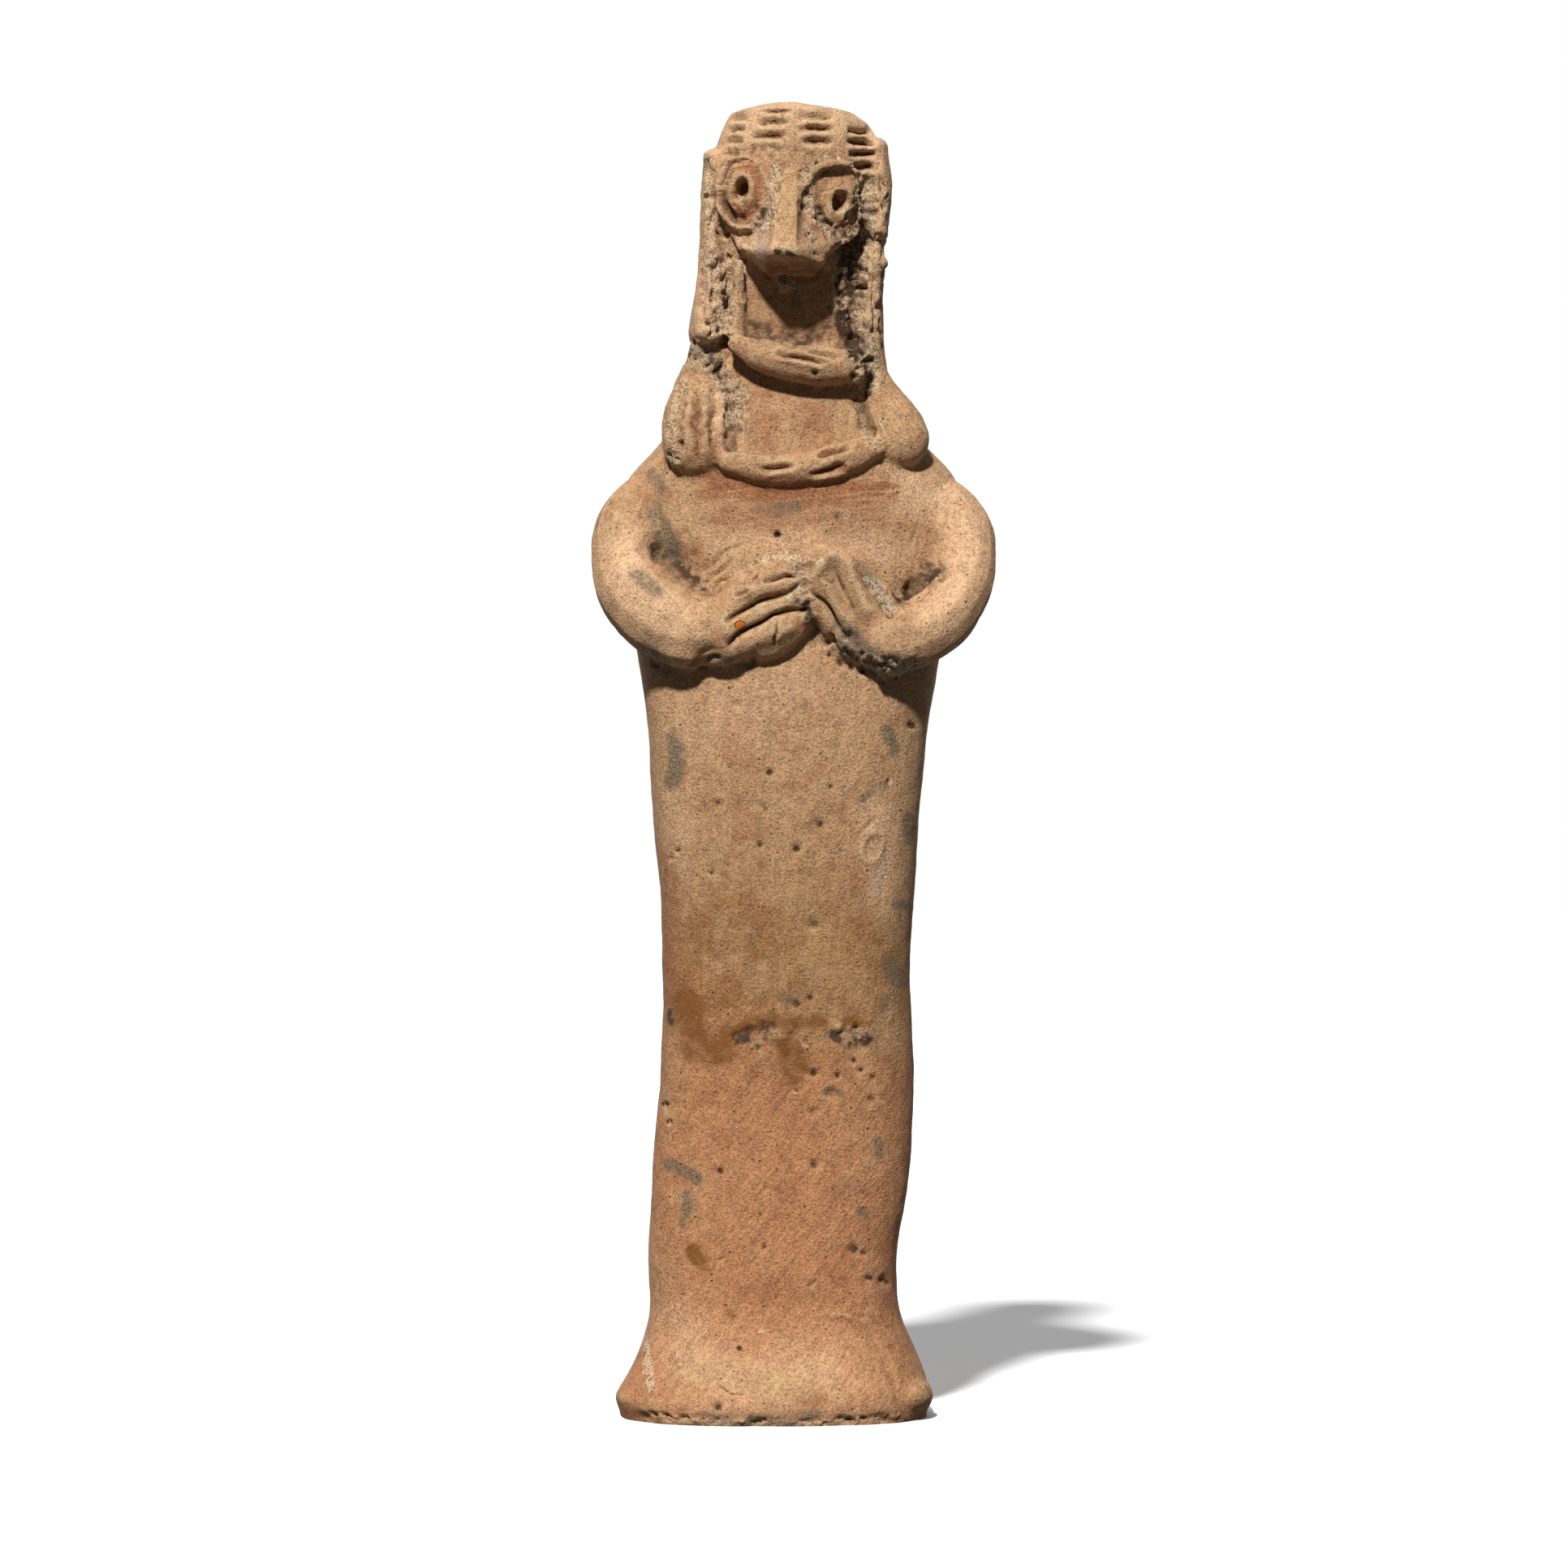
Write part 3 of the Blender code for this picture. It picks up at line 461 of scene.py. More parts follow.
def foot_corners(clay):
    for centre, sizes in (RIGHT_FLARE, LEFT_LUMP):
        pellet(clay, place(*centre), (sizes[0] * ACROSS, sizes[1] * DEEP, sizes[2] * UP))


# The relief's tables give widths, depths and heights in millimetres. A stroke in them is its
# points' places on the front, one after another: x, z, x, z and so on.
MM = 0.001
FRONT_EDGE = 0.25
BOX_MARGIN = 0.00003


class Surface:
    """The clay's points while they are worked: where each lies, which way it faces, and how
    far it is to be lifted along its normal, or pressed where that is below zero."""

    def __init__(self, mesh):
        count = len(mesh.vertices)
        points = np.empty(count * 3, np.float32)
        mesh.vertices.foreach_get("co", points)
        self.points = points.reshape(-1, 3).astype(float)
        normals = np.empty(count * 3, np.float32)
        mesh.vertices.foreach_get("normal", normals)
        self.normals = normals.reshape(-1, 3).astype(float)
        self.flat = self.points[:, [0, 2]]
        self.x = self.points[:, 0] / ACROSS + FOOT_CENTRE
        self.z = self.points[:, 2] / UP
        self.front = np.clip((-self.normals[:, 1] + FRONT_EDGE) / (2 * FRONT_EDGE), 0.0, 1.0)
        self.lift = np.zeros(count)

    def store(self, mesh):
        """Moves the points, but keeps them inside the solid's own box. Its floor is cut later."""
        moved = self.points + self.normals * self.lift[:, None]
        low, high = (np.array(corner) for corner in cad_box)
        moved[:, :2] = np.clip(moved[:, :2], low[:2] + BOX_MARGIN, high[:2] - BOX_MARGIN)
        moved[:, 2] = np.minimum(moved[:, 2], high[2] - BOX_MARGIN)
        mesh.vertices.foreach_set("co", moved.astype(np.float32).ravel())
        mesh.update()


# Large odd numbers that scatter the values of the noise's cells
CELL_FACTORS = np.array((73856093, 19349663, 83492791))
SEED_FACTOR = 2654435761
MIXING = ((15, 2246822519), (13, 3266489917))


def cell_value(cells, seed):
    """A repeatable number from -1 to 1 for each whole-number cell of space."""
    mixed = np.bitwise_xor.reduce(cells * CELL_FACTORS, axis=1) ^ seed * SEED_FACTOR
    for shift, factor in MIXING:
        mixed = (mixed ^ (mixed >> shift)) * factor & 0xFFFFFFFF
    return ((mixed ^ (mixed >> 16)) & 0xFFFF) / 32767.5 - 1.0


def smooth_noise(points, seed):
    """Noise that runs smoothly from cell to cell."""
    low = np.floor(points).astype(np.int64)
    part = points - low
    part = part * part * (3.0 - 2.0 * part)
    total = np.zeros(len(points))
    for corner in np.ndindex(2, 2, 2):
        corner = np.array(corner)
        weight = np.prod(np.where(corner, part, 1.0 - part), axis=1)
        total += weight * cell_value(low + corner, seed)
    return total


def clouds(points, size, seed, octaves=3):
    """Noise with lumps of a size in metres and finer ones on them."""
    total = np.zeros(len(points))
    share = 1.0
    for octave in range(octaves):
        total += share * smooth_noise(points / (size * 0.5**octave), seed + octave)
        share *= 0.5
    return total


def run_of(stroke):
    points = [place(x, 0, z) for x, z in zip(stroke[::2], stroke[1::2])]
    return [np.array((point.x, point.z)) for point in points]


def near_run(flat, run):
    """How far each point is above a run of straight pieces, and its share of the way along."""
    nearest = np.full(len(flat), np.inf)
    across = np.zeros(len(flat))
    along = np.zeros(len(flat))
    lengths = [np.linalg.norm(b - a) for a, b in zip(run, run[1:])]
    walked = 0.0
    for start, end, length in zip(run, run[1:], lengths):
        way = (end - start) / length
        step = flat - start
        share = np.clip(step @ way / length, 0.0, 1.0)
        distance = np.linalg.norm(step - share[:, None] * (end - start), axis=1)
        side = np.sign(way[0] * step[:, 1] - way[1] * step[:, 0])
        closer = distance < nearest
        nearest[closer] = distance[closer]
        across[closer] = (side * distance)[closer]
        along[closer] = (walked + share[closer] * length) / sum(lengths)
        walked += length
    return across, along


def bell(distance, width):
    return np.exp(-((distance / width) ** 2))


# A groove wanders a little, fades at its ends and pushes clay up beside it. The lips' places and
# widths are shares of the groove's width.
WANDER_SIZE = 1.6 * MM
WANDER_SEED = 40
END_ROUNDNESS = 0.6
LIP_PLACE = 0.9
LOW_LIP_PLACE = 1.05
LIP_WIDTH = 0.45


def groove(surface, stroke, width, depth, lip=0.0, low_lip=0.0, wander=0.12, seed=0):
    """Presses a groove of a width and depth in millimetres, with clay pushed up beside it: lip
    on both sides, or low_lip on the side to the right of the stroke's way."""
    across, along = near_run(surface.flat, run_of(stroke))
    across = across / MM + wander * clouds(surface.points, WANDER_SIZE, WANDER_SEED + seed, 2)
    ends = np.sin(np.pi * np.clip(along, 0.0, 1.0)) ** END_ROUNDNESS
    form = -depth * bell(across, width / 2)
    form += lip * bell(np.abs(across) - LIP_PLACE * width, LIP_WIDTH * width)
    form += low_lip * bell(across + LOW_LIP_PLACE * width, LIP_WIDTH * width)
    surface.lift += form * MM * ends * surface.front


def grooves(surface, rows, first_seed, **finish):
    """A groove for each row of (width, depth, stroke)."""
    for number, (width, depth, *stroke) in enumerate(rows):
        groove(surface, stroke, width, depth, seed=first_seed + number, **finish)


def around(surface, x, z, half_width, half_height=None, turn=0.0):
    """How far each point is from a spot, counted in its own half sizes."""
    half_height = half_height or half_width
    east = surface.x - x
    north = surface.z - z
    cos, sin = math.cos(math.radians(turn)), math.sin(math.radians(turn))
    across = (east * cos + north * sin) / half_width
    return np.hypot(across, (north * cos - east * sin) / half_height)


def soft_spot(surface, x, z, half_width, half_height=None, turn=0.0):
    return bell(around(surface, x, z, half_width, half_height, turn), 1.0) * surface.front


def soft_band(surface, stroke, half_width):
    across, _ = near_run(surface.flat, run_of(stroke))
    return bell(across / MM, half_width) * surface.front


def strongest(surface, runs):
    """The strongest at each point of runs of (half width, strength, stroke)."""
    total = np.zeros(len(surface.points))
    for half_width, strength, *stroke in runs:
        total = np.maximum(total, strength * soft_band(surface, stroke, half_width))
    return total


# Headdress dashes as (left, right, level, droop to the right, depth), and slashes on the collars
DASHES = (
    (-6.8, -4.5, 159.2, 0, 0.5), (-7.2, -4.8, 157.7, -0.1, 0.65), (-7.4, -5, 156.2, 0, 0.55),
    (-7.6, -5.2, 154.8, 0, 0.35), (-3.1, 1.1, 159.8, 0.1, 0.75), (-3.4, 0.6, 158.3, 0, 0.8),
    (-4.2, 0.3, 156.7, 0.3, 0.9), (1.8, 6.5, 159.1, 0.2, 0.8), (1.7, 6.3, 157.5, -0.1, 0.95),
    (2.1, 6.2, 156, 0.1, 0.8), (8, 11.2, 157.5, -0.3, 1.2), (7.9, 11.6, 155.9, -0.2, 1.2),
    (8.2, 11.5, 154.6, -0.2, 1.1), (8.4, 11, 153.2, -0.1, 0.9),
)
SLASHES = (
    (-1, 130.2, 2.3, 129.5, 5.1, 128.8), (2.9, 130.4, 5.2, 130, 7.2, 129.6),
    (-2.9, 115.8, -0.6, 116.1, 1.4, 116.3), (4, 117.5, 6, 118.2, 8, 118.6),
    (3.2, 115, 5.4, 115.7, 7.8, 116.3),
)
DASH_WIDTH = 0.85
DASH_DEPTH_SHARE = 0.85
SLASH_WIDTH = 0.8
SLASH_DEPTH = 0.95


def tool_strokes(surface):
    for number, (left, right, level, droop, depth) in enumerate(DASHES):
        stroke = (left, level, right, level - droop)
        pressed = DASH_DEPTH_SHARE * depth
        groove(surface, stroke, DASH_WIDTH, pressed, low_lip=0.3, wander=0.22, seed=number)
    slashes = [(SLASH_WIDTH, SLASH_DEPTH, *stroke) for stroke in SLASHES]
    grooves(surface, slashes, 20, lip=0.14, low_lip=0.12, wander=0.16)


# Valleys between the fingers and the cracks that opened along them, as (width, depth, stroke),
# and the ridges beside them, as (half width, height, stroke)
VALLEYS = (
    (1.8, 0.45, -2.5, 102.1, 0, 102.9, 2.8, 103.2),
    (2.4, 0.8, -7, 97.2, -4.1, 99.2, -0.8, 100.5, 2.1, 102),
    (2.2, 0.75, -6.8, 94.1, -4.2, 96.4, -1, 98, 2.4, 98.6),
    (2.2, 0.7, 5.6, 105, 7.2, 101.8, 8.8, 98.4), (2.6, 1, 9, 104.4, 11, 101.4, 13.6, 98),
    (1.6, 0.4, -11, 92.6, -8.6, 93.4, -7.4, 93), (1.2, 0.4, -4.4, 93.4, -3.2, 92),
    (1.8, 0.6, 4.2, 101.6, 5.4, 99, 7, 96.4), (2, 0.9, 2.9, 104.6, 2.6, 101.4, 3.2, 98),
)
CRACKS = (
    (0.5, 0.8, -2.6, 102.1, -1.2, 102.4, 0, 103, 1.5, 102.8, 2.8, 103.2),
    (0.35, 0.35, -3.8, 102.2, -3.3, 102.8, -2.8, 103.4),
    (0.4, 0.4, -5.9, 100.4, -5, 100.7, -4.3, 101),
    (0.6, 0.9, -7, 97, -5.9, 98.1, -4.1, 99.1, -2.6, 100, -0.8, 100.4, 0.8, 100.9, 2.1, 102.1),
    (0.6, 1, -6.8, 93.9, -5.7, 95.2, -4.2, 96.3, -2.1, 97.3, -1, 98.1, 0.5, 98.5, 2.3, 98.6),
    (0.45, 0.5, -0.7, 97.8, -0.8, 95.9, -1.1, 95.2, -1, 93.9),
    (0.5, 0.7, 3.4, 101.1, 4.7, 99.8, 5.6, 98.3, 6.4, 96.9, 7.5, 95.6),
    (0.45, 0.45, 6.3, 104.4, 7.3, 101.7, 7.7, 100.3, 8.7, 98.6),
    (0.35, 0.3, 5, 102.6, 5.8, 102, 6.4, 102.3), (0.5, 0.5, -9.4, 92.2, -8.4, 92.8, -7.4, 92.7),
    (0.5, 0.4, -11.6, 91.9, -10.2, 92.4),
)
FINGER_RIDGES = (
    (0.9, 0.25, -6.6, 95.8, -3.4, 97.9, 0.6, 99.6, 2, 100.1),
    (0.8, 0.3, -3.6, 101.2, -0.4, 101.8, 2, 102.6), (1.1, 0.4, -5.6, 93.6, -3, 95.4, 0.6, 96.6),
    (1, 0.35, -13.4, 93.2, -11.4, 91.8), (1, 0.35, -8.2, 92.4, -6, 92),
    (0.7, 0.5, 3.4, 102.6, 5, 104.2, 5.9, 105.2), (0.9, 0.45, 5, 101, 6.6, 98.6, 8, 96.6),
    (0.9, 0.55, 7.6, 104.8, 8.8, 101.9, 10.4, 98.8), (1.4, 0.35, 8.4, 94, 12, 92.4, 16, 93.4),
)


def hands(surface):
    for width, depth, *stroke in VALLEYS:
        groove(surface, stroke, width, depth, wander=0.1)
    for half_width, height, *stroke in FINGER_RIDGES:
        surface.lift += height * MM * soft_band(surface, stroke, half_width)
    grooves(surface, CRACKS, 30, lip=0.1, wander=0.12)


# Hair and locks: grooves down them as (width, depth, stroke), clods that stand between them as
# (x, z, half width, half height, turn, height), and fine lines spread over the left lock
PARTINGS = (
    (1, 0.55, -12.4, 126.4, -12.8, 121, -12.4, 117.8),
    (1.2, 0.75, -10.4, 126.8, -10.7, 121, -10.5, 116.6),
    (1, 0.6, -8.2, 126.2, -8.4, 121, -8.2, 117.6), (1.4, 0.9, -6, 126.4, -5.8, 122, -6.4, 117.8),
    (1.2, 0.4, -8.1, 142.6, -8.3, 137, -8.5, 132.4), (1, 0.3, -9.9, 140.4, -9.9, 136, -10.2, 132.6),
    (1.2, 0.15, -6.6, 142.4, -6.7, 137, -6.9, 132.2), (1, 0.6, -9.3, 154.4, -9.1, 149, -8.7, 143.6),
    (0.7, 0.5, -9.4, 140.6, -8.2, 140.3, -7.2, 141.2), (1.2, 0.8, 9.6, 152.6, 10, 148, 9.4, 143.6),
    (0.6, 0.5, 11.5, 153.6, 11.8, 149.8, 11.4, 146.4),
    (0.8, 0.6, 10.8, 144.8, 12.4, 143.8, 13, 143), (1.2, 0.8, 8.6, 141.4, 9.4, 138, 9, 134),
    (0.8, 0.7, 11, 140, 11.4, 135.6, 11.6, 131.2), (0.7, 0.5, 9.2, 133.8, 10.8, 132.8, 12.2, 133.2),
    (1.1, 0.7, 9, 126.6, 9.6, 122.6, 12, 118.4),
)
CLODS = (
    (-8.6, 143.2, 0.9, 2.3, 8, 0.5), (-9, 137, 0.5, 3, 0, 0.3), (-7.5, 137.6, 0.5, 3, 0, 0.35),
    (-9, 129.2, 1, 0.9, 0, 0.5), (-6.9, 128.6, 0.9, 0.9, 0, 0.45), (-11.2, 128.6, 1, 0.9, 0, 0.4),
    (-6.8, 125.8, 0.9, 1.1, 0, 0.5), (8.9, 127.4, 1, 0.9, 0, 0.5), (8.2, 136.6, 0.8, 1, 0, 0.5),
    (8.9, 134.6, 1, 0.7, 0, 0.5), (12.2, 141.4, 0.8, 0.9, 0, 0.5), (12.4, 145.6, 0.7, 1.4, 0, 0.4),
    (3.9, 145.9, 0.7, 0.5, 0, 0.4), (3.4, 149.6, 0.7, 0.9, 0, 0.3),
    (-1.8, 150.8, 0.6, 0.9, 0, 0.25), (6.9, 144.6, 0.8, 0.5, 0, 0.4),
    (5.3, 140.8, 0.5, 0.5, 0, 0.5), (-13.4, 128, 0.7, 1.4, 0, 0.3),
)
LOCK_LINES = 7
LOCK_LINE = (10.6, 124.4, 13.0, 118.0)
LOCK_SPREAD = (2.4, 1.6, 4.6, 1.6)
LOCK_LINE_WIDTH = 0.4
LOCK_LINE_DEPTH = 0.13


def hair_work(surface):
    grooves(surface, PARTINGS, 60, lip=0.05, wander=0.35)
    for *spot, height in CLODS:
        surface.lift += height * MM * soft_spot(surface, *spot)
    lines = []
    for number in range(LOCK_LINES):
        share = number / (LOCK_LINES - 1)
        line = [start + spread * share for start, spread in zip(LOCK_LINE, LOCK_SPREAD)]
        lines.append((LOCK_LINE_WIDTH, LOCK_LINE_DEPTH, *line))
    grooves(surface, lines, 80, lip=0.04, wander=0.3)


# Eyes: what parts pellet from ring as (width, depth, stroke), the slope beside the left eye as
# (x, z, half width, half height, turn, depth), and the ragged holes poked for the pupils
EYE_SLOPES = ((9.0, 146.2, 1.5, 2.2, -25, 0.9), (8.4, 143.2, 1.8, 1.0, 10, 0.5))
PUPIL_TURN = -14.0
PUPIL_RAGGEDNESS = 0.16
PUPIL_WALL = 1.2
EYE_PARTINGS = (
    (0.8, 0.7, -3.2, 145.9, -4.6, 145.9, -5.9, 146.4, -7.2, 148, -7.9, 150),
    (0.4, 0.3, -7.9, 149.8, -7.3, 152.2, -6.1, 153.5, -4.6, 153.8, -3, 152.9),
    (0.5, 0.25, 4, 150.4, 5.2, 151.7, 6.6, 152.3, 8.4, 152.3),
    (0.3, 0.16, 4.4, 149.6, 6, 150.1, 7.8, 150.9), (0.7, 0.5, 4.3, 148.2, 4.8, 146.2, 6.2, 144.9),
)


def eye_work(surface):
    grooves(surface, EYE_PARTINGS, 100, lip=0.06, wander=0.12)
    half_sizes = (PUPIL_WIDTH / MM / 2, PUPIL_HEIGHT / MM / 2)
    for number, eye in enumerate(EYES):
        ragged = PUPIL_RAGGEDNESS * clouds(surface.points, 0.9 * MM, 110 + number, 2)
        hole = around(surface, eye.pupil_x, eye.pupil_z, *half_sizes, PUPIL_TURN) + ragged
        surface.lift -= PUPIL_DEPTH * np.clip(PUPIL_WALL - hole**4, 0.0, 1.0) * surface.front
    for *spot, depth in EYE_SLOPES:
        surface.lift -= depth * MM * soft_spot(surface, *spot)


# Gouges, dents and scratches in the clay, as (width, depth, stroke)
GOUGES = (
    (4, 1.2, -17.2, 107.6, -13.6, 105.2, -10.6, 103.2, -9, 100.2),
    (4, 1.2, 19.4, 104.8, 19, 102.4, 14.4, 99.2),
    (1.2, 0.3, -15.4, 106.4, -12.6, 105, -10.2, 102.8),
    (1.4, 0.35, 14.6, 100.6, 16.4, 101.8, 18.4, 102.8), (1, 0.5, 18.4, 104.4, 19, 102.8),
    (0.5, 0.22, -10, 103.4, -6.4, 106.2), (0.5, 0.28, -9.7, 102.2, -6, 104.9),
    (0.5, 0.28, -8.9, 101.4, -6.8, 103), (0.5, 0.2, -9, 104.6, -5.2, 107),
    (0.4, 0.16, 14.2, 105.4, 15, 108.6), (0.4, 0.16, 15.2, 105.8, 16.2, 109.4),
    (0.4, 0.2, -16.6, 101.6, -14.6, 100.6), (0.4, 0.2, -16.4, 103.4, -15.2, 100.2),
    (0.7, 0.5, -16.2, 92.6, -15.2, 91.6), (0.5, 0.5, -0.9, 108.2, -0.2, 107.6),
    (0.35, 0.3, -8.7, 4, -7.7, 5, -6.2, 4.1, -4.5, 3.8), (0.5, 0.3, 2.8, 16.3, 4.2, 17.5),
    (0.4, 0.2, -8.6, 19.2, -6.9, 20.4), (0.8, 0.45, -6.8, 46.6, -4, 47.6, -1.3, 48.4),
    (1.4, 0.35, 5.6, 47, 8.2, 47.2, 10.2, 48.2), (0.3, 0.25, -11.1, 42.5, -10.4, 42.9, -9.9, 42.7),
    (0.3, 0.4, 1.4, 40.5, 1.9, 40.2), (0.5, 0.35, 3.6, 60.4, 4.4, 60),
    (0.3, 0.2, -2.6, 75.2, -1.8, 74), (0.4, 0.3, 12.4, 77.6, 13.2, 78.4),
    (0.35, 0.2, 9.4, 71.6, 11.6, 73.4), (1, 0.25, -6.6, 87.6, -4.8, 87.2),
)
FOOT_CREASE = (3.2, 13.2, 5.4, 13.2, 7.4, 13.1, 9.7, 12.5, 12.5, 12.5)
FOOT_SCRATCH = (10.1, 11.7, 12.3, 7.8, 13.6, 4.5, 14.3, 1.4)
SPALL = (11.0, 69.9, 1.2, 1.9, -20)
RIM_CHIPS = (
    (-17.2, 0.4, 1.4, 0.5), (-3, 0.2, 1.8, 0.45), (7.6, 0.2, 1.5, 0.55), (12.4, 0.5, 1.2, 0.6),
)
RIM_CHIP_HEIGHT = 0.8
GOUGE_LIP = 0.15
SPALL_RAGGEDNESS = 0.12
SPALL_RIM = 0.2
SPALL_BED = 0.16


def wear(surface):
    for number, (width, depth, *stroke) in enumerate(GOUGES):
        lip = GOUGE_LIP * depth
        groove(surface, stroke, width, depth, lip=lip, wander=0.3, seed=120 + number)
    groove(surface, FOOT_CREASE, 0.9, -0.22, wander=0.1, seed=150)
    groove(surface, FOOT_SCRATCH, 1.0, 0.14, lip=0.08, wander=0.05, seed=151)
    reach = around(surface, *SPALL)
    reach = reach + SPALL_RAGGEDNESS * clouds(surface.points, 0.8 * MM, 152, 2)
    surface.lift += SPALL_RIM * MM * bell(reach - 1.0, 0.22) * surface.front
    surface.lift -= SPALL_BED * MM * bell(reach, 0.75) * surface.front
    for x, z, half_width, depth in RIM_CHIPS:
        surface.lift -= depth * MM * soft_spot(surface, x, z, half_width, RIM_CHIP_HEIGHT)


# Rough zones, where crust and worn clay break the surface up: (half width, height, stroke)
CRUST = (
    (0.9, 0.38, -9.4, 154.6, -9.2, 149, -8.9, 143.6, -9.2, 140.4),
    (0.8, 0.42, -6.9, 142.2, -6.8, 138, -6.7, 132.4),
    (0.7, 0.35, -8.6, 139.6, -8.4, 135, -8.6, 131.6),
    (1.5, 0.5, -12, 130.4, -9.8, 130, -8.2, 128.2, -6.6, 125.6, -6, 121.6),
    (1.3, 0.5, -7.2, 127.2, -5.4, 124.8),
    (0.8, 0.4, -0.9, 152.4, -1.3, 149.6, -1.3, 147.2, -2.4, 145.2),
    (0.7, 0.35, -2.2, 148.2, -2.9, 146.4, -4.2, 145.2),
    (0.9, 0.28, -7.9, 145.6, -6.2, 142.6, -4.6, 141),
    (0.7, 0.22, -6.4, 141.6, -5.2, 139.4, -4.6, 136),
    (0.9, 0.45, 3, 152.4, 2.9, 149.6, 3.3, 147, 5.4, 145.2, 7.6, 144.6),
    (1.2, 0.35, 7.4, 147.8, 8.6, 146.4, 9.4, 149.4),
    (1.4, 0.55, 10, 151.4, 10.2, 147.4, 9.8, 143, 9, 139, 8.8, 134),
    (0.8, 0.3, 12.6, 149.4, 12.6, 144, 12.2, 139),
    (1.5, 0.6, 7.8, 143, 7.6, 139.4, 7.4, 136.4, 8.2, 133.6),
    (1.6, 0.4, -8.6, 141, -7.8, 136.8, -7.6, 132.6),
    (1.3, 0.6, 9.2, 133.6, 10.4, 130.4, 10.8, 126.4), (1, 0.55, 8.4, 130.6, 9.6, 128, 9.2, 125.6),
    (0.8, 0.3, 9, 124.4, 9.8, 121, 11.6, 118.4),
    (0.7, 0.25, -4.6, 131.6, -1.4, 131.8, 2, 131.2, 6.4, 131.4),
    (1.2, 0.35, -12.4, 126.6, -13.6, 122, -13.4, 117),
    (1.7, 0.17, -14.6, 106, -12.6, 104.8, -9.6, 101.8),
    (1.9, 0.2, 13.6, 100.4, 16.2, 102.6, 18.6, 103.6), (1.4, 0.16, -6, 155.2, 0, 154.2, 5, 154.6),
    (1.6, 0.2, -9.2, 152, -9, 146, -8.8, 140),
    (1.6, 0.22, 11.6, 152, 11.4, 146, 11.2, 140, 11.4, 132), (2.8, 0.14, -10.4, 126, -9.4, 120),
    (1.8, 0.14, -4.6, 144.4, -6.6, 147), (0.8, 0.4, 1.2, 104.8, 1.9, 103, 2.3, 101, 1.4, 100.2),
    (0.8, 0.55, 2.8, 99.8, 3, 97.8), (0.6, 0.5, 10.2, 102.4, 11.8, 100.2, 13, 98.4),
    (1.5, 0.4, 6.6, 94.6, 8.6, 92.6, 12.4, 91.4, 16, 92),
    (1.2, 0.22, -3, 46.3, 0.2, 47.6, 3.4, 46.4), (1.4, 0.3, 7.6, 47.4, 10.6, 47.4),
    (0.8, 0.2, -5.4, 155, -2, 154.4, 4, 154.6, 6.6, 154), (0.5, 0.4, -0.8, 142.2, 1.4, 141.9),
    (1, 0.5, -0.4, 139, 1.2, 138.2), (0.5, 0.3, -16.6, 1, -8, 0.6, 4, 0.5, 14, 0.8),
)
CRUST_LUMPS = 0.9
CRUST_HOLES = 2.2
HOLE_LEVEL = 0.15


def crust(surface):
    lumps = clouds(surface.points, 1.2 * MM, 7, 3)
    holes = np.clip(clouds(surface.points, 0.8 * MM, 17, 2) - HOLE_LEVEL, 0.0, 1.0)
    surface.lift += strongest(surface, CRUST) * MM * (CRUST_LUMPS * lumps - CRUST_HOLES * holes)


# Pits and grains that show: (x, z, half width, depth), where a depth below zero stands proud
PITS = (
    (-8, 75.2, 0.35, 0.3), (-2.8, 70.2, 0.3, 0.3), (1.6, 69.7, 0.4, 0.35), (3.7, 60.5, 0.45, 0.3),
    (-8.8, 66.8, 0.25, 0.25), (3.2, 51.6, 0.35, 0.25), (1.6, 50.8, 0.4, 0.25),
    (3.7, 42.5, 0.4, 0.35), (6.6, 42.2, 0.3, 0.3), (11, 41.9, 0.25, 0.3), (6, 40.1, 0.5, 0.35),
    (15.7, 84.7, 0.4, 0.3), (5.8, 77.2, 0.2, 0.4), (-14.7, 38.4, 0.25, 0.5),
    (-14.1, 36.4, 0.2, 0.4), (-7.7, 30.5, 0.4, 0.3), (3.8, 31.3, 0.4, 0.35),
    (-2.3, 21.4, 0.3, 0.25), (8.6, 21, 0.5, 0.35), (9.9, 20.5, 0.3, 0.3), (-5.3, 9.2, 0.35, -0.2),
    (-7.9, 2.4, 0.45, 0.4), (10.6, 17.4, 0.3, 0.3), (12.6, 17, 0.5, 0.4), (-0.8, 108, 0.4, 0.5),
    (6.6, 110.1, 0.3, 0.2), (12.1, 151.2, 0.35, 0.9), (12, 150.4, 0.3, 0.6), (3.9, 127.4, 0.3, 0.4),
    (8.7, 127.3, 0.35, 0.6), (-7.4, 128.6, 0.28, 0.5), (-1.6, 79, 0.4, 0.25),
    (4.2, 72.8, 0.6, 0.25), (5.3, 94.6, 0.25, 0.35), (5.6, 93.3, 0.25, 0.35), (7, 92.3, 0.3, 0.4),
    (9.6, 93.4, 0.25, 0.35), (9.6, 91.4, 0.3, 0.35), (10.8, 39.2, 0.3, 0.35),
    (3.6, 37.8, 0.25, 0.35), (8.6, 44, 0.25, 0.3), (9.5, 42.8, 0.25, 0.3), (-13, 69.5, 0.2, 0.35),
    (-13.9, 68.6, 0.15, 0.3), (-9.4, 149.6, 0.4, 0.35), (2.7, 147.9, 0.3, 0.35),
    (3.1, 144.4, 0.2, 0.3), (4, 143.7, 0.2, 0.3), (4.2, 141.9, 0.2, 0.25), (-9.2, 133.9, 0.4, 0.4),
    (11, 147.6, 0.3, 0.5), (10.6, 129.4, 0.4, 0.6),
)
PIT_GAIN = 1.3


def pits(surface):
    for x, z, half_width, depth in PITS:
        spot = soft_spot(surface, x, z, PIT_GAIN * half_width)
        surface.lift -= PIT_GAIN * depth * MM * spot


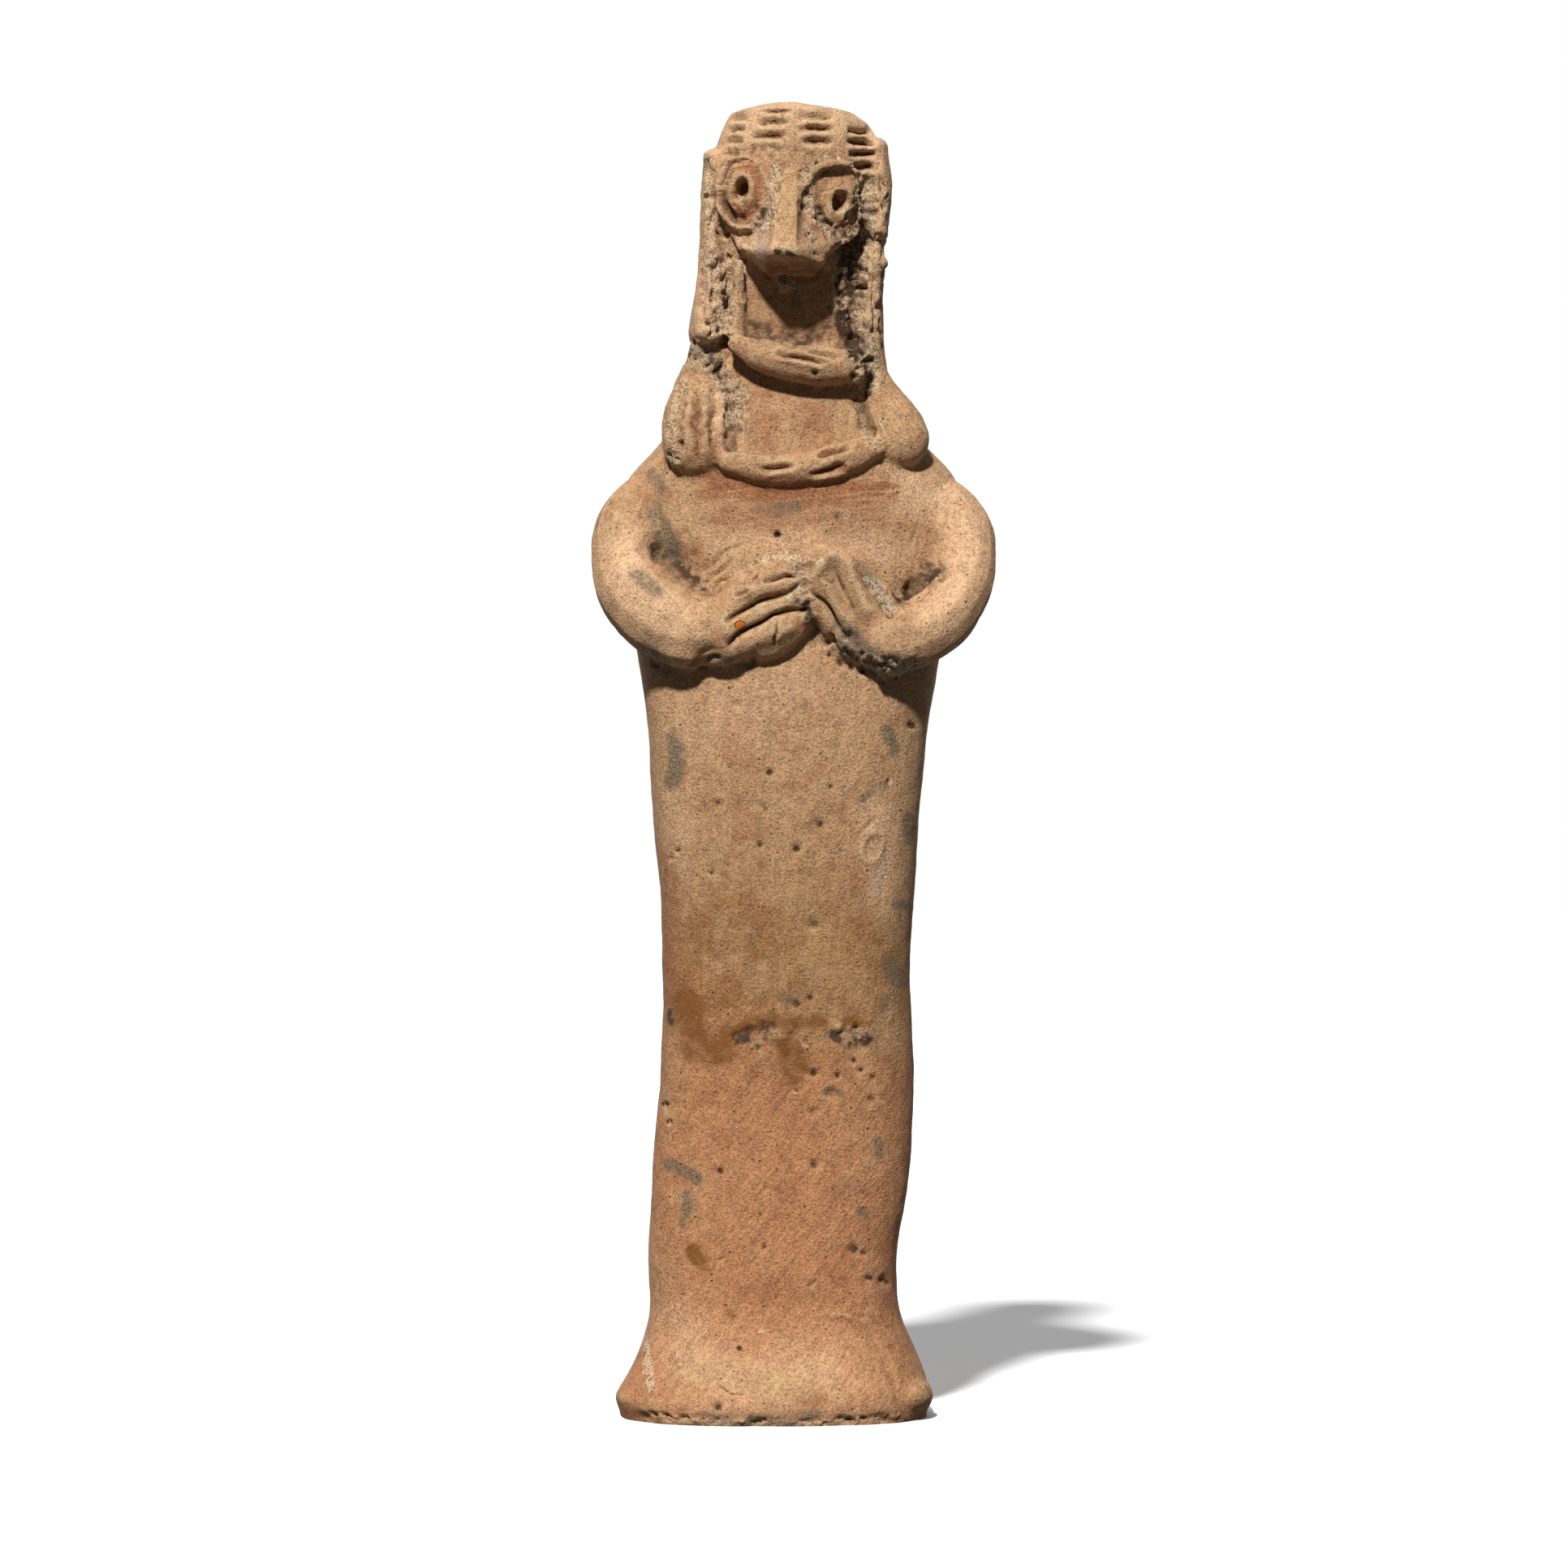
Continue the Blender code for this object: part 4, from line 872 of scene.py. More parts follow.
# Unevenness everywhere as (height, size of its lumps, seed), the marks of slanting wipes, and
# how far the surface is drawn in so that the relief stays inside the solid's size
UNEVEN = ((0.2, 14, 1), (0.07, 5, 3), (0.03, 1.2, 5))
WIPE_SLANT = np.array(((0.62, 0.0, 0.78), (0.0, 1.0, 0.0), (-0.78, 0.0, 0.62)))
WIPE_STRETCH = np.array((0.1, 0.5, 1.0))
WIPE_HEIGHT = 0.02
SHRINK = 0.28


def hand_of_the_maker(surface):
    """The uneven surface that hands, wiping and burial leave everywhere, back and front."""
    for height, size, seed in UNEVEN:
        surface.lift += height * MM * clouds(surface.points, size * MM, seed, 2)
    stretched = surface.points @ WIPE_SLANT.T * WIPE_STRETCH
    surface.lift += WIPE_HEIGHT * MM * clouds(stretched, 1.0 * MM, 9, 2)
    surface.lift -= SHRINK * MM


def work_the_clay(mesh):
    surface = Surface(mesh)
    for work in (hand_of_the_maker, hair_work, tool_strokes, hands, eye_work, wear, crust, pits):
        work(surface)
    surface.store(mesh)


def evaluated_copy(mesh, add_modifiers):
    """The mesh after modifiers, which add_modifiers puts on a passing object."""
    obj = put_in_scene("clay", mesh)
    add_modifiers(obj)
    result = final_mesh(obj)
    bpy.data.meshes.remove(mesh)
    return result


def fuse(obj):
    """Runs the lumps together into one surface and smooths it, as a wet hand does."""
    remesh = obj.modifiers.new("fuse", "REMESH")
    remesh.mode = "VOXEL"
    remesh.voxel_size = GRAIN
    smooth = obj.modifiers.new("wipe", "SMOOTH")
    smooth.factor = 0.5
    smooth.iterations = SMOOTHING_PASSES


def thin_out(obj):
    """Keeps faces where the relief is, and few where it is plain."""
    triangles = sum(len(face.vertices) - 2 for face in obj.data.polygons)
    decimate = obj.modifiers.new("thin out", "DECIMATE")
    decimate.ratio = FACES_KEPT / triangles


def cut_underside(mesh):
    """Cuts the foot off flat at z = 0 and closes it with one flat face."""
    clay = bmesh.new()
    clay.from_mesh(mesh)
    everything = clay.verts[:] + clay.edges[:] + clay.faces[:]
    up = (0, 0, 1)
    bmesh.ops.bisect_plane(clay, geom=everything, plane_co=(0, 0, 0), plane_no=up, clear_inner=True)
    rim = [edge for edge in clay.edges if edge.is_boundary]
    rim_verts = list({vert for edge in rim for vert in edge.verts})
    bmesh.ops.remove_doubles(clay, verts=rim_verts, dist=RIM_MERGE)
    bmesh.ops.holes_fill(clay, edges=[edge for edge in clay.edges if edge.is_boundary])
    bmesh.ops.triangulate(clay, faces=[face for face in clay.faces if len(face.verts) > 4])
    clay.to_mesh(mesh)
    clay.free()


# Colours that lie on the clay, each as runs of (half width, strength, stroke). Some brown runs are
# painted shade, and some rubbed runs are a painted highlight.
PALE = (
    (0.8, 0.9, -0.8, 152.8, -1.2, 149.6, -1.2, 147, -2.2, 145.2),
    (0.8, 0.5, -6.4, 154.2, -7.9, 151.2, -7.7, 148, -6, 145.8),
    (0.9, 0.65, 3.3, 152.6, 3.1, 149.8, 3.8, 146.6, 6, 144.4),
    (0.7, 0.7, 4.6, 153.9, 8.2, 154.2, 10, 151.6),
    (0.7, 0.8, -9.4, 154.6, -9.2, 149, -8.9, 143.6, -9.2, 140.4),
    (0.5, 0.6, -8.5, 139.4, -8.4, 135), (0.9, 0.6, -7.6, 142, -6.4, 138, -6, 134.4),
    (0.9, 0.55, 9.4, 151, 10, 146, 9, 141, 7.6, 136.4), (1.2, 0.5, 6, 135, 8.4, 134.4),
    (0.5, 0.6, -9.6, 124.6, -9.4, 120), (0.8, 0.4, -6.6, 117.8, -4.4, 116.8),
    (0.6, 0.6, -4.4, 133, -1, 132.3, 3, 131.6),
    (0.8, 0.75, -4, 104.3, 0.6, 105.4, 2.6, 104.6, 6, 104.6),
    (0.6, 0.95, 2.2, 104.4, 2.2, 102.4, 1.6, 100.6, 0.2, 100.4), (0.5, 0.6, -3.2, 99.4, -0.6, 100),
    (0.4, 0.5, -1, 97.4, -1, 96.4), (0.4, 0.9, 6.6, 149.9, 7.6, 147.4),
    (0.5, 0.9, -5.4, 149.2, -4.9, 148.9), (0.7, 0.4, 10.4, 103.6, 12.6, 99.4),
    (0.9, 0.8, -17, 10.4, -16.2, 4.2), (0.6, 0.6, -13.2, 8.4, -12.6, 7.2),
    (0.22, 1, -2.6, 11.6, -2.5, 10.2), (0.16, 1.6, -3.1, 7.2, -3.1, 7.1),
    (0.16, 1.6, 10.8, 6.5, 10.8, 6.4), (0.2, 1.4, 5.1, 141.2, 5.2, 141.5),
    (0.8, 0.35, 8.4, 46.8, 10.2, 47.6),
)
SOOT = (
    (1, 0.85, -13.2, 83.2, -12.8, 80.4, -13.4, 78), (0.5, 0.4, -8.8, 83, -8.5, 83.1),
    (0.8, 0.75, 12.6, 84, 13.6, 81.6), (0.5, 0.6, 9.4, 75.8, 12.4, 77.4),
    (0.8, 0.7, 15.2, 73.4, 15.6, 70.8), (0.6, 0.7, 13.6, 63, 15.4, 62.8),
    (1, 0.9, 12.9, 55.6, 14.2, 53.6), (0.6, 0.6, 12.4, 51.6, 11.8, 50),
    (0.5, 0.6, -0.4, 51.6, 1.2, 51.2), (0.4, 0.8, 5.2, 40.3, 7.2, 39.9),
    (0.8, 0.8, -13.8, 31.2, -11.6, 30.2, -10.6, 29.6), (0.8, 0.6, -11.6, 27.4, -12, 24),
    (0.7, 0.55, 11.4, 34, 11.8, 32.6), (0.7, 0.55, 9.4, 25.8, 10.2, 25.2),
    (1.4, 0.25, 7.6, 29, 9, 28.2), (1.3, 0.55, -15.8, 111, -14.2, 108, -13.4, 106),
    (1.1, 0.55, -17.8, 103, -15.4, 101), (0.8, 0.6, -17, 94.4, -14.2, 91.6),
    (0.6, 0.5, -8.6, 93.2, -3.6, 91.6), (1.3, 0.75, 7, 96.4, 10.4, 93, 15, 92),
    (0.8, 0.55, 9.8, 103.4, 12, 99.6), (1, 0.45, -1.2, 110.6, 1.6, 111.4, -3.4, 111.2),
    (0.8, 0.75, -11.2, 131, -8.8, 130.4), (0.9, 0.55, 10.4, 131, 11.4, 128.4),
    (0.9, 0.45, -16, 115.6, -14.4, 113.4), (0.4, 0.7, 6.5, 110.2, 6.7, 109.8),
    (1, 0.35, -9.6, 1.2, -2, 0.8, 4, 1.4), (0.8, 0.5, -4.6, 0.6, 2, 0.5),
    (1, 0.35, 14.6, 19, 15.4, 14),
)
OCHRE = (
    (1.9, 0.75, -11.6, 51, -11.4, 48.6), (2.2, 0.85, -11, 46.8, -9.6, 44.8, -8.2, 45.4),
    (1.6, 0.35, -7, 50.6, -4.6, 51.6), (1.1, 0.8, -7, 46.8, -4, 47.9, -1.6, 49),
    (1, 0.6, -0.4, 48.4, 1.8, 48.8, 4.6, 48.6), (1.5, 0.75, 0.6, 46.4, 1.2, 43.8, 1.8, 42.2),
    (1.3, 0.7, 8.2, 48.2, 10.8, 47.4), (1, 0.85, -11, 20.6, -9.8, 18.6),
    (0.6, 0.4, -7, 13.6, -6.2, 13), (0.8, 0.9, -1.6, 140, 1, 139.8, 3.6, 139.8),
)
# Dark brown stains, and painted shade: the beak's shadow on the throat, and the shade down the
# figure's left cheek, hair and neck and below its left eye.
BROWN_STAIN_AND_SHADE_RUNS = (
    (0.4, 0.9, -0.8, 141.9, 1.4, 141.5), (0.9, 0.7, 6.4, 144.8, 8.4, 144.4, 9.8, 146.6),
    (0.9, 0.5, 9, 141, 9.6, 137.4), (0.7, 0.8, 2.8, 99.4, 3.1, 97.8),
    (1, 0.5, 6.8, 94.4, 8.6, 92.6, 12.4, 91.4), (0.6, 0.9, -13.9, 49.6, -13.6, 48.6),
    (0.8, 1.1, -5.6, 46.6, -3.4, 47.4, -1.6, 48.2), (1, 0.85, 5.6, 47.2, 8, 46.2, 10.2, 46.6),
    (1.4, 0.35, -1.8, 46.8, 0.2, 45.6, 1.4, 43.4), (0.5, 0.8, 1.6, 42.8, 1.8, 42.2),
    (1.7, 0.95, 8.6, 143.8, 8, 139.4, 7.6, 134.6, 8.8, 130.4),
    (2, 0.55, -3.6, 133.4, 2, 131.6, 5.4, 133.4), (2.2, 0.45, -2.4, 136.8, 2.4, 135.6),
    (2.4, 0.35, 5, 103, 9, 98), (1.1, 0.6, -11.6, 130.6, -8.8, 129.8, -7, 126.6),
    (0.7, 0.3, -6, 124.6, -6.2, 119.6), (0.7, 0.7, -2.4, 147.4, -3, 145.8),
    (0.7, 0.9, 6.8, 133.8, 7.8, 131.8), (0.9, 0.75, -16, 106.8, -13.4, 105, -9.8, 101.6),
    (1.2, 0.7, 14, 100.2, 16.6, 102.2, 19, 103.2), (0.6, 0.75, 9.2, 130, 10.6, 127.6, 10.4, 125.2),
    (0.5, 0.5, 3, 98.2, 4.4, 96.2), (1, 0.35, 4.2, 72.9, 4.6, 72.6),
)
RED = (
    (2.6, 0.8, -9, 114.4, -4, 113.4, 4, 113, 12, 113.6),
    (2.4, 0.45, -8, 109.8, 6, 109.6, 12, 110.4), (2.6, 0.6, -10.6, 122, -9.4, 117.8),
    (3, 1, -5.4, 151.6, -5, 148.4), (1.4, 0.5, -9.4, 146, -7.6, 144.4, -6, 143),
    (2.6, 0.5, -2.4, 126.4, -2, 120), (3, 0.5, 4, 125.4, 4, 121), (1.8, 0.35, -9, 140, -9, 134),
    (2, 0.4, -5.6, 130.6, -1.6, 129.4), (2.6, 0.6, 7, 149, 7.2, 147),
    (0.8, 0.45, 4, 117.4, 9, 118.4), (0.8, 0.7, 4, 115.2, 8.6, 116.2),
    (2.4, 0.55, -14.6, 68, -13.4, 58, -12.6, 52), (1.1, 1, 1.6, 3.8, 4.4, 3.2),
    (0.5, 0.8, 7.4, 13.1, 12.5, 12.4), (2, 0.35, -14, 5, -10, 4.6),
)
# Worn paler clay, partly a painted highlight: the pale headdress top, shoulders, elbows and the
# figure's right side of the head stand in for light on these parts.
RUBBED_AND_HIGHLIGHT_RUNS = (
    (3.4, 1, -19.4, 106.4, -18.8, 102.4, -13, 97), (3.2, 1, 22.4, 109, 22.4, 104, 18.6, 98),
    (3.2, 1, 14, 115, 19.6, 112), (2.6, 0.6, 11.6, 74, 12.6, 64), (2.2, 0.4, -13.6, 76, -12.8, 66),
    (3, 1, -6.4, 157, 0, 159.4, 7, 158.4, 10.6, 156.4),
    (3.2, 1, -7.4, 153.6, -6.4, 145.6, -4, 142.4), (2.6, 1, -9, 154, -9, 142, -9, 132),
    (1.8, 0.7, 11.6, 154, 11.4, 146, 11.2, 136), (1.8, 0.5, -8, 106.4, 2, 107.6, 12, 106),
    (4.2, 0.5, -14, 12, -6, 5, 5, 6), (1.2, 0.7, -8.6, 124.8, -7.2, 119.6),
    (4, 0.35, 1, 90, -6, 86, -12, 84),
)
BLOOM = (
    (0.9, 0.7, -2.4, 146, -3, 143.4, -2.2, 141.2), (0.9, 0.6, 2.9, 145.4, 3.8, 142.8),
    (0.8, 0.9, 11, 102.2, 12.8, 99.2), (0.8, 0.6, 12.6, 68.6, 11, 64.4),
    (1.4, 0.25, -1.4, 119.4, 2.6, 125), (1.8, 0.35, 8, 110, 12.6, 104.6),
    (1, 0.25, -4.4, 46, -0.8, 41.6), (1.2, 0.3, -1, 155, 3, 155.6),
)
YELLOW = (
    (0.8, 0.7, 1, 151.6, 0.9, 147.6, 0.2, 143), (2.2, 0.9, -11, 6.6, -3, 5, 3, 5.4),
    (3, 0.4, 2, 62, 3.6, 58, 8.6, 54), (3, 0.45, 8.2, 123, 12, 120),
    (2.4, 0.4, 11.4, 152, 11.2, 140),
)
DROP = (-5.2, 96.8, 0.65, 0.6)
COLOUR_RUNS = {
    "pale": PALE, "soot": SOOT, "ochre": OCHRE, "brown_stain_and_shade": BROWN_STAIN_AND_SHADE_RUNS, "red": RED, "rubbed_and_highlight": RUBBED_AND_HIGHLIGHT_RUNS,
    "bloom": BLOOM, "yellow": YELLOW,
}
DUN_LEVEL = 56.0
DUN_REACH = 14.0
PIT_DIRT_AND_SHADE = 1.2
FULL_CRUST = 0.5
FINE_PASSES = 6
WIDE_PASSES = 60

# The edge where the tan of the figure's upper part gives way to the redder foot part: how far
# it wavers, how wide it is, and where it lies, as (x, level)
TAN_EDGE_WAVER = 2.2
TAN_EDGE_WIDTH = 4.0
TAN_EDGE = ((-18, 58), (-12, 56.6), (-8, 54), (-3, 49.4), (3, 48), (9, 46.8), (17, 44))


def smoothed(points, edges, passes):
    """The points after each has moved to its neighbours' middle, over and over."""
    count = len(points)
    both = np.concatenate([edges, edges[:, ::-1]])
    neighbours = np.bincount(both[:, 0], minlength=count)
    for _ in range(passes):
        columns = [np.bincount(both[:, 0], points[both[:, 1], axis], count) for axis in range(3)]
        points = 0.5 * points + 0.5 * np.stack(columns, axis=1) / neighbours[:, None]
    return points


def hollow(mesh, surface, passes):
    """How deep in a hollow each point lies in millimetres, or below zero how far out it is."""
    edges = np.empty(len(mesh.edges) * 2, np.int32)
    mesh.edges.foreach_get("vertices", edges)
    settled = smoothed(surface.points, edges.reshape(-1, 2), passes)
    return np.einsum("ij,ij->i", settled - surface.points, surface.normals) / MM


def store_marks(mesh):
    """Keeps on each point how much of each finish lies there."""
    surface = Surface(mesh)
    edge_x, edge_level = zip(*TAN_EDGE)
    edge = np.interp(surface.x, edge_x, edge_level)
    edge = edge + TAN_EDGE_WAVER * clouds(surface.points, 6 * MM, 21, 3)
    marks = {name: strongest(surface, runs) for name, runs in COLOUR_RUNS.items()}
    marks["fine_hollow"] = hollow(mesh, surface, FINE_PASSES)
    marks["wide_hollow"] = hollow(mesh, surface, WIDE_PASSES)
    marks["crusted"] = strongest(surface, CRUST) / FULL_CRUST
    marks["dun"] = bell(surface.z - DUN_LEVEL, DUN_REACH)
    marks["drop"] = soft_spot(surface, *DROP)
    marks["tan"] = np.clip((surface.z - edge) / TAN_EDGE_WIDTH + 0.5, 0.0, 1.0)
    # Pits are darkened: dirt in them, and painted shade.
    for x, z, half_width, _ in PITS:
        dirt_and_shade = PIT_DIRT_AND_SHADE * soft_spot(surface, x, z, half_width)
        marks["brown_stain_and_shade"] = np.maximum(marks["brown_stain_and_shade"], dirt_and_shade)
    for name, values in marks.items():
        mark = mesh.attributes.new(name, "FLOAT", "POINT")
        mark.data.foreach_set("value", values.astype(np.float32))


class Recipe:
    """Adds nodes to a material. Each call gives the output that the next one takes."""

    def __init__(self, material):
        material.use_nodes = True
        self.tree = material.node_tree
        self.shader = self.tree.nodes["Principled BSDF"]
        self.place = self.node("ShaderNodeTexCoord", output="Object")

    def node(self, kind, inputs=None, output=0, **settings):
        made = self.tree.nodes.new(kind)
        for name, value in settings.items():
            setattr(made, name, value)
        for name, value in (inputs or {}).items():
            self.fill(made.inputs[name], value)
        return made.outputs[output]

    def fill(self, socket, value):
        if isinstance(value, bpy.types.NodeSocket):
            self.tree.links.new(value, socket)
        else:
            socket.default_value = value

    def mark(self, name):
        return self.node("ShaderNodeAttribute", output="Fac", attribute_name=name)

    def noise(self, size, detail=4.0, rough=0.55, twist=0.0, place=None):
        """Noise from 0 to 1 with lumps of a size in metres."""
        inputs = {"Vector": place or self.place, "Scale": 1 / size, "Detail": detail}
        inputs.update({"Roughness": rough, "Distortion": twist})
        return self.node("ShaderNodeTexNoise", inputs, output="Fac")

    def streaks(self, size, slant, length):
        """Noise drawn out, length times as long as wide, at a slant in degrees up from +X."""
        turned = {"Vector": self.place, "Rotation": (0.0, math.radians(slant), 0.0)}
        turned = self.node("ShaderNodeMapping", turned)
        drawn = self.node("ShaderNodeMapping", {"Vector": turned, "Scale": (1 / length, 0.5, 1.0)})
        return self.noise(size, 4.0, 0.6, 0.3, drawn)

    def sum(self, operation, first, second):
        return self.node("ShaderNodeMath", {0: first, 1: second}, operation=operation)

    def times(self, first, second):
        return self.sum("MULTIPLY", first, second)

    def plus(self, first, second):
        return self.sum("ADD", first, second)

    def mix(self, factor, first, second):
        return self.node("ShaderNodeMix", {0: factor, 2: first, 3: second}, data_type="FLOAT")

    def step(self, value, low, high, start=0.0, end=1.0):
        inputs = {"Value": value, "From Min": low, "From Max": high, "To Min": start, "To Max": end}
        return self.node("ShaderNodeMapRange", inputs, interpolation_type="SMOOTHSTEP")

    def blend(self, factor, first, second, blend_type="MIX"):
        inputs = {0: factor, 6: first, 7: second}
        return self.node("ShaderNodeMix", inputs, output=2, data_type="RGBA", blend_type=blend_type)

    def lay(self, base, over, name, pattern, steps, edge=None):
        """Lays a colour over the base where a mark lies, broken up by a pattern."""
        amount = self.times(self.mark(name), self.step(pattern, *steps))
        if edge:
            amount = self.step(amount, *edge)
        return self.blend(amount, base, over)

    def dots(self, size, low, high, seed=0.0):
        """Scattered specks: 1 in a speck and 0 outside, with only some cells holding one."""
        shifted = {"Vector": self.place, "Location": (seed, seed, seed)}
        place = self.node("ShaderNodeMapping", shifted)
        settings = {"feature": "F1", "voronoi_dimensions": "3D"}
        inputs = {"Vector": place, "Scale": 1 / size}
        distance = self.node("ShaderNodeTexVoronoi", inputs, output="Distance", **settings)
        colour = self.node("ShaderNodeTexVoronoi", inputs, output="Color", **settings)
        chance = self.node("ShaderNodeSeparateColor", {"Color": colour}, output=0)
        return self.times(self.step(distance, high, low), self.step(chance, 0.62, 0.7))


def colour(red, green, blue):
    return (red, green, blue, 1.0)


CLAY_RED = colour(0.45, 0.20, 0.09)
CLAY_TAN = colour(0.45, 0.255, 0.13)
CLAY_CHEST = colour(0.32, 0.126, 0.054)
CLAY_YELLOW = colour(0.47, 0.29, 0.135)
CLAY_DUN = colour(0.25, 0.115, 0.036)
# Pale worn clay, also used as a painted highlight.
CLAY_RUBBED_AND_HIGHLIGHT = colour(0.66, 0.405, 0.23)
CREAM = colour(0.74, 0.55, 0.35)
LILAC = colour(0.42, 0.30, 0.225)
SOOT_GREY = colour(0.125, 0.098, 0.066)
OCHRE_STAIN = colour(0.20, 0.076, 0.017)
DARK_BROWN = colour(0.066, 0.034, 0.017)
DROP_ORANGE = colour(0.46, 0.12, 0.014)
# Dark brown for dirt, dark specks and painted shade in hollows.
DIRT_AND_SHADE_COLOUR = colour(0.085, 0.042, 0.02)
SOFT_EDGE = (0.1, 0.9)
DROP_GLOSS = 0.12

# How much each pattern adds to the finest relief
MOTTLED_RELIEF = 0.35
GRITTY_RELIEF = 0.9
WIPED_RELIEF = 0.8
PORE_RELIEF = 0.6


def clay_colour(clay, cloudy, mottled, gritty, wiped):
    """The fired clay itself: zones of tan, red, dun and yellow, mottled, streaked and gritty."""
    broad = clay.noise(14 * MM, 3.0)
    base = clay.blend(clay.mark("tan"), CLAY_RED, CLAY_TAN)
    base = clay.lay(base, CLAY_DUN, "dun", cloudy, (0.3, 0.62, 0.4, 1.0))
    base = clay.blend(clay.step(broad, 0.45, 0.68, 0.0, 0.3), base, CLAY_YELLOW)
    base = clay.blend(clay.step(cloudy, 0.46, 0.7, 0.0, 0.6), base, CLAY_CHEST)
    # Rubbed pale clay, partly a painted highlight on the headdress top, shoulders and elbows.
    base = clay.lay(base, CLAY_RUBBED_AND_HIGHLIGHT, "rubbed_and_highlight", cloudy, (0.3, 0.6, 0.6, 1.0))
    level = clay.streaks(0.6 * MM, 6.0, 14.0)
    base = clay.lay(base, CLAY_CHEST, "red", level, (0.3, 0.6, 0.4, 1.2), SOFT_EDGE)
    base = clay.lay(base, CLAY_YELLOW, "yellow", cloudy, (0.25, 0.6, 0.4, 1.0))
    base = clay.lay(base, LILAC, "bloom", mottled, (0.3, 0.6, 0.4, 1.1), SOFT_EDGE)
    light = clay.step(mottled, 0.28, 0.72, 0.85, 1.13)
    light = clay.plus(light, clay.step(wiped, 0.3, 0.7, -0.16, 0.16))
    light = clay.plus(light, clay.step(gritty, 0.3, 0.7, -0.32, 0.26))
    shade = clay.node("ShaderNodeCombineColor", {"Red": light, "Green": light, "Blue": light})
    return clay.blend(1.0, base, shade, "MULTIPLY")


def clay_finish():
    """Low-fired clay: mottled, speckled with temper, wiped, worn pale on its edges with a painted
    highlight there, dirty and darkened with painted shade in its hollows, with pale crust, soot and
    stains, and painted shade below the beak and down the left side of the face."""
    material = bpy.data.materials.new("fired_clay")
    clay = Recipe(material)
    cloudy = clay.noise(4 * MM, 5.0, 0.6, 0.6)
    mottled = clay.noise(1.2 * MM, 5.0, 0.62)
    gritty = clay.noise(0.3 * MM, 3.0, 0.7)
    slanted = clay.step(clay.streaks(0.5 * MM, 54.0, 12.0), 0.0, 1.0, 0.27, 0.73)
    upright = clay.step(clay.streaks(0.9 * MM, 80.0, 9.0), 0.0, 1.0, 0.35, 0.65)
    wiped = clay.mix(clay.mark("tan"), slanted, upright)
    base = clay_colour(clay, cloudy, mottled, gritty, wiped)

    fine = clay.mark("fine_hollow")
    # Painted highlight, with wear: raised edges and forms are blended towards pale cream.
    worn_and_edge_highlight = clay.times(clay.step(fine, -0.01, -0.09), clay.step(mottled, 0.35, 0.6, 0.2, 0.7))
    base = clay.blend(worn_and_edge_highlight, base, clay.blend(0.4, CLAY_YELLOW, CREAM))
    # Painted shade, with dirt: fine and wide hollows are darkened where shadow falls in them.
    dirt_and_shade = clay.times(clay.step(fine, 0.02, 0.15), clay.step(mottled, 0.34, 0.6, 0.25, 0.95))
    base = clay.blend(dirt_and_shade, base, DIRT_AND_SHADE_COLOUR)
    base = clay.blend(clay.step(clay.mark("wide_hollow"), 0.3, 1.0, 0.0, 0.35), base, DIRT_AND_SHADE_COLOUR)

    ochre = clay.times(clay.mark("ochre"), clay.step(cloudy, 0.34, 0.62, 0.5, 1.6))
    ochre = clay.times(clay.step(ochre, 0.1, 0.7), clay.step(mottled, 0.3, 0.56, 0.5, 1.0))
    base = clay.blend(ochre, base, OCHRE_STAIN)
    # Dark brown stains, with painted shade under the beak, down the left side of the face and neck,
    # and in the pits.
    brown_stain_and_shade = clay.times(clay.mark("brown_stain_and_shade"), clay.step(mottled, 0.33, 0.62, 0.1, 1.3))
    brown_stain_and_shade = clay.step(brown_stain_and_shade, 0.15, 0.8)
    base = clay.blend(brown_stain_and_shade, base, DARK_BROWN)
    soot = clay.times(clay.mark("soot"), clay.step(mottled, 0.3, 0.62, 0.1, 1.3))
    soot = clay.times(clay.step(soot, 0.08, 0.45), clay.step(gritty, 0.36, 0.6, 1.0, 0.55))
    base = clay.blend(soot, base, SOOT_GREY)
    crusted = clay.step(clay.mark("crusted"), 0.25, 0.8)
    cavities = clay.times(crusted, clay.step(gritty, 0.47, 0.36, 0.0, 0.7))
    base = clay.blend(cavities, base, DIRT_AND_SHADE_COLOUR)
    pale = clay.times(clay.mark("pale"), clay.step(mottled, 0.34, 0.62, 0.2, 1.2))
    pale = clay.sum("MAXIMUM", clay.step(pale, 0.25, 0.85, 0.0, 0.9), clay.times(crusted, 0.65))
    pale = clay.times(pale, clay.step(gritty, 0.4, 0.58, 0.15, 1.0))
    pale = clay.times(pale, clay.sum("SUBTRACT", 1.0, brown_stain_and_shade))
    base = clay.blend(pale, base, CREAM)

    dark_specks = clay.dots(0.75 * MM, 0.10, 0.17)
    large_specks = clay.dots(1.9 * MM, 0.06, 0.1, 3.1)
    pale_specks = clay.dots(1.1 * MM, 0.06, 0.1, 7.7)
    base = clay.blend(clay.times(dark_specks, 0.8), base, DIRT_AND_SHADE_COLOUR)
    base = clay.blend(clay.times(large_specks, 0.85), base, DARK_BROWN)
    base = clay.blend(clay.times(pale_specks, 0.6), base, CREAM)
    drop = clay.step(clay.mark("drop"), 0.3, 0.5)
    base = clay.blend(drop, base, DROP_ORANGE)
    clay.fill(clay.shader.inputs["Base Color"], base)

    rough = clay.step(mottled, 0.3, 0.7, 0.8, 0.96)
    clay.fill(clay.shader.inputs["Roughness"], clay.mix(drop, rough, DROP_GLOSS))
    clay.shader.inputs["Specular IOR Level"].default_value = 0.3

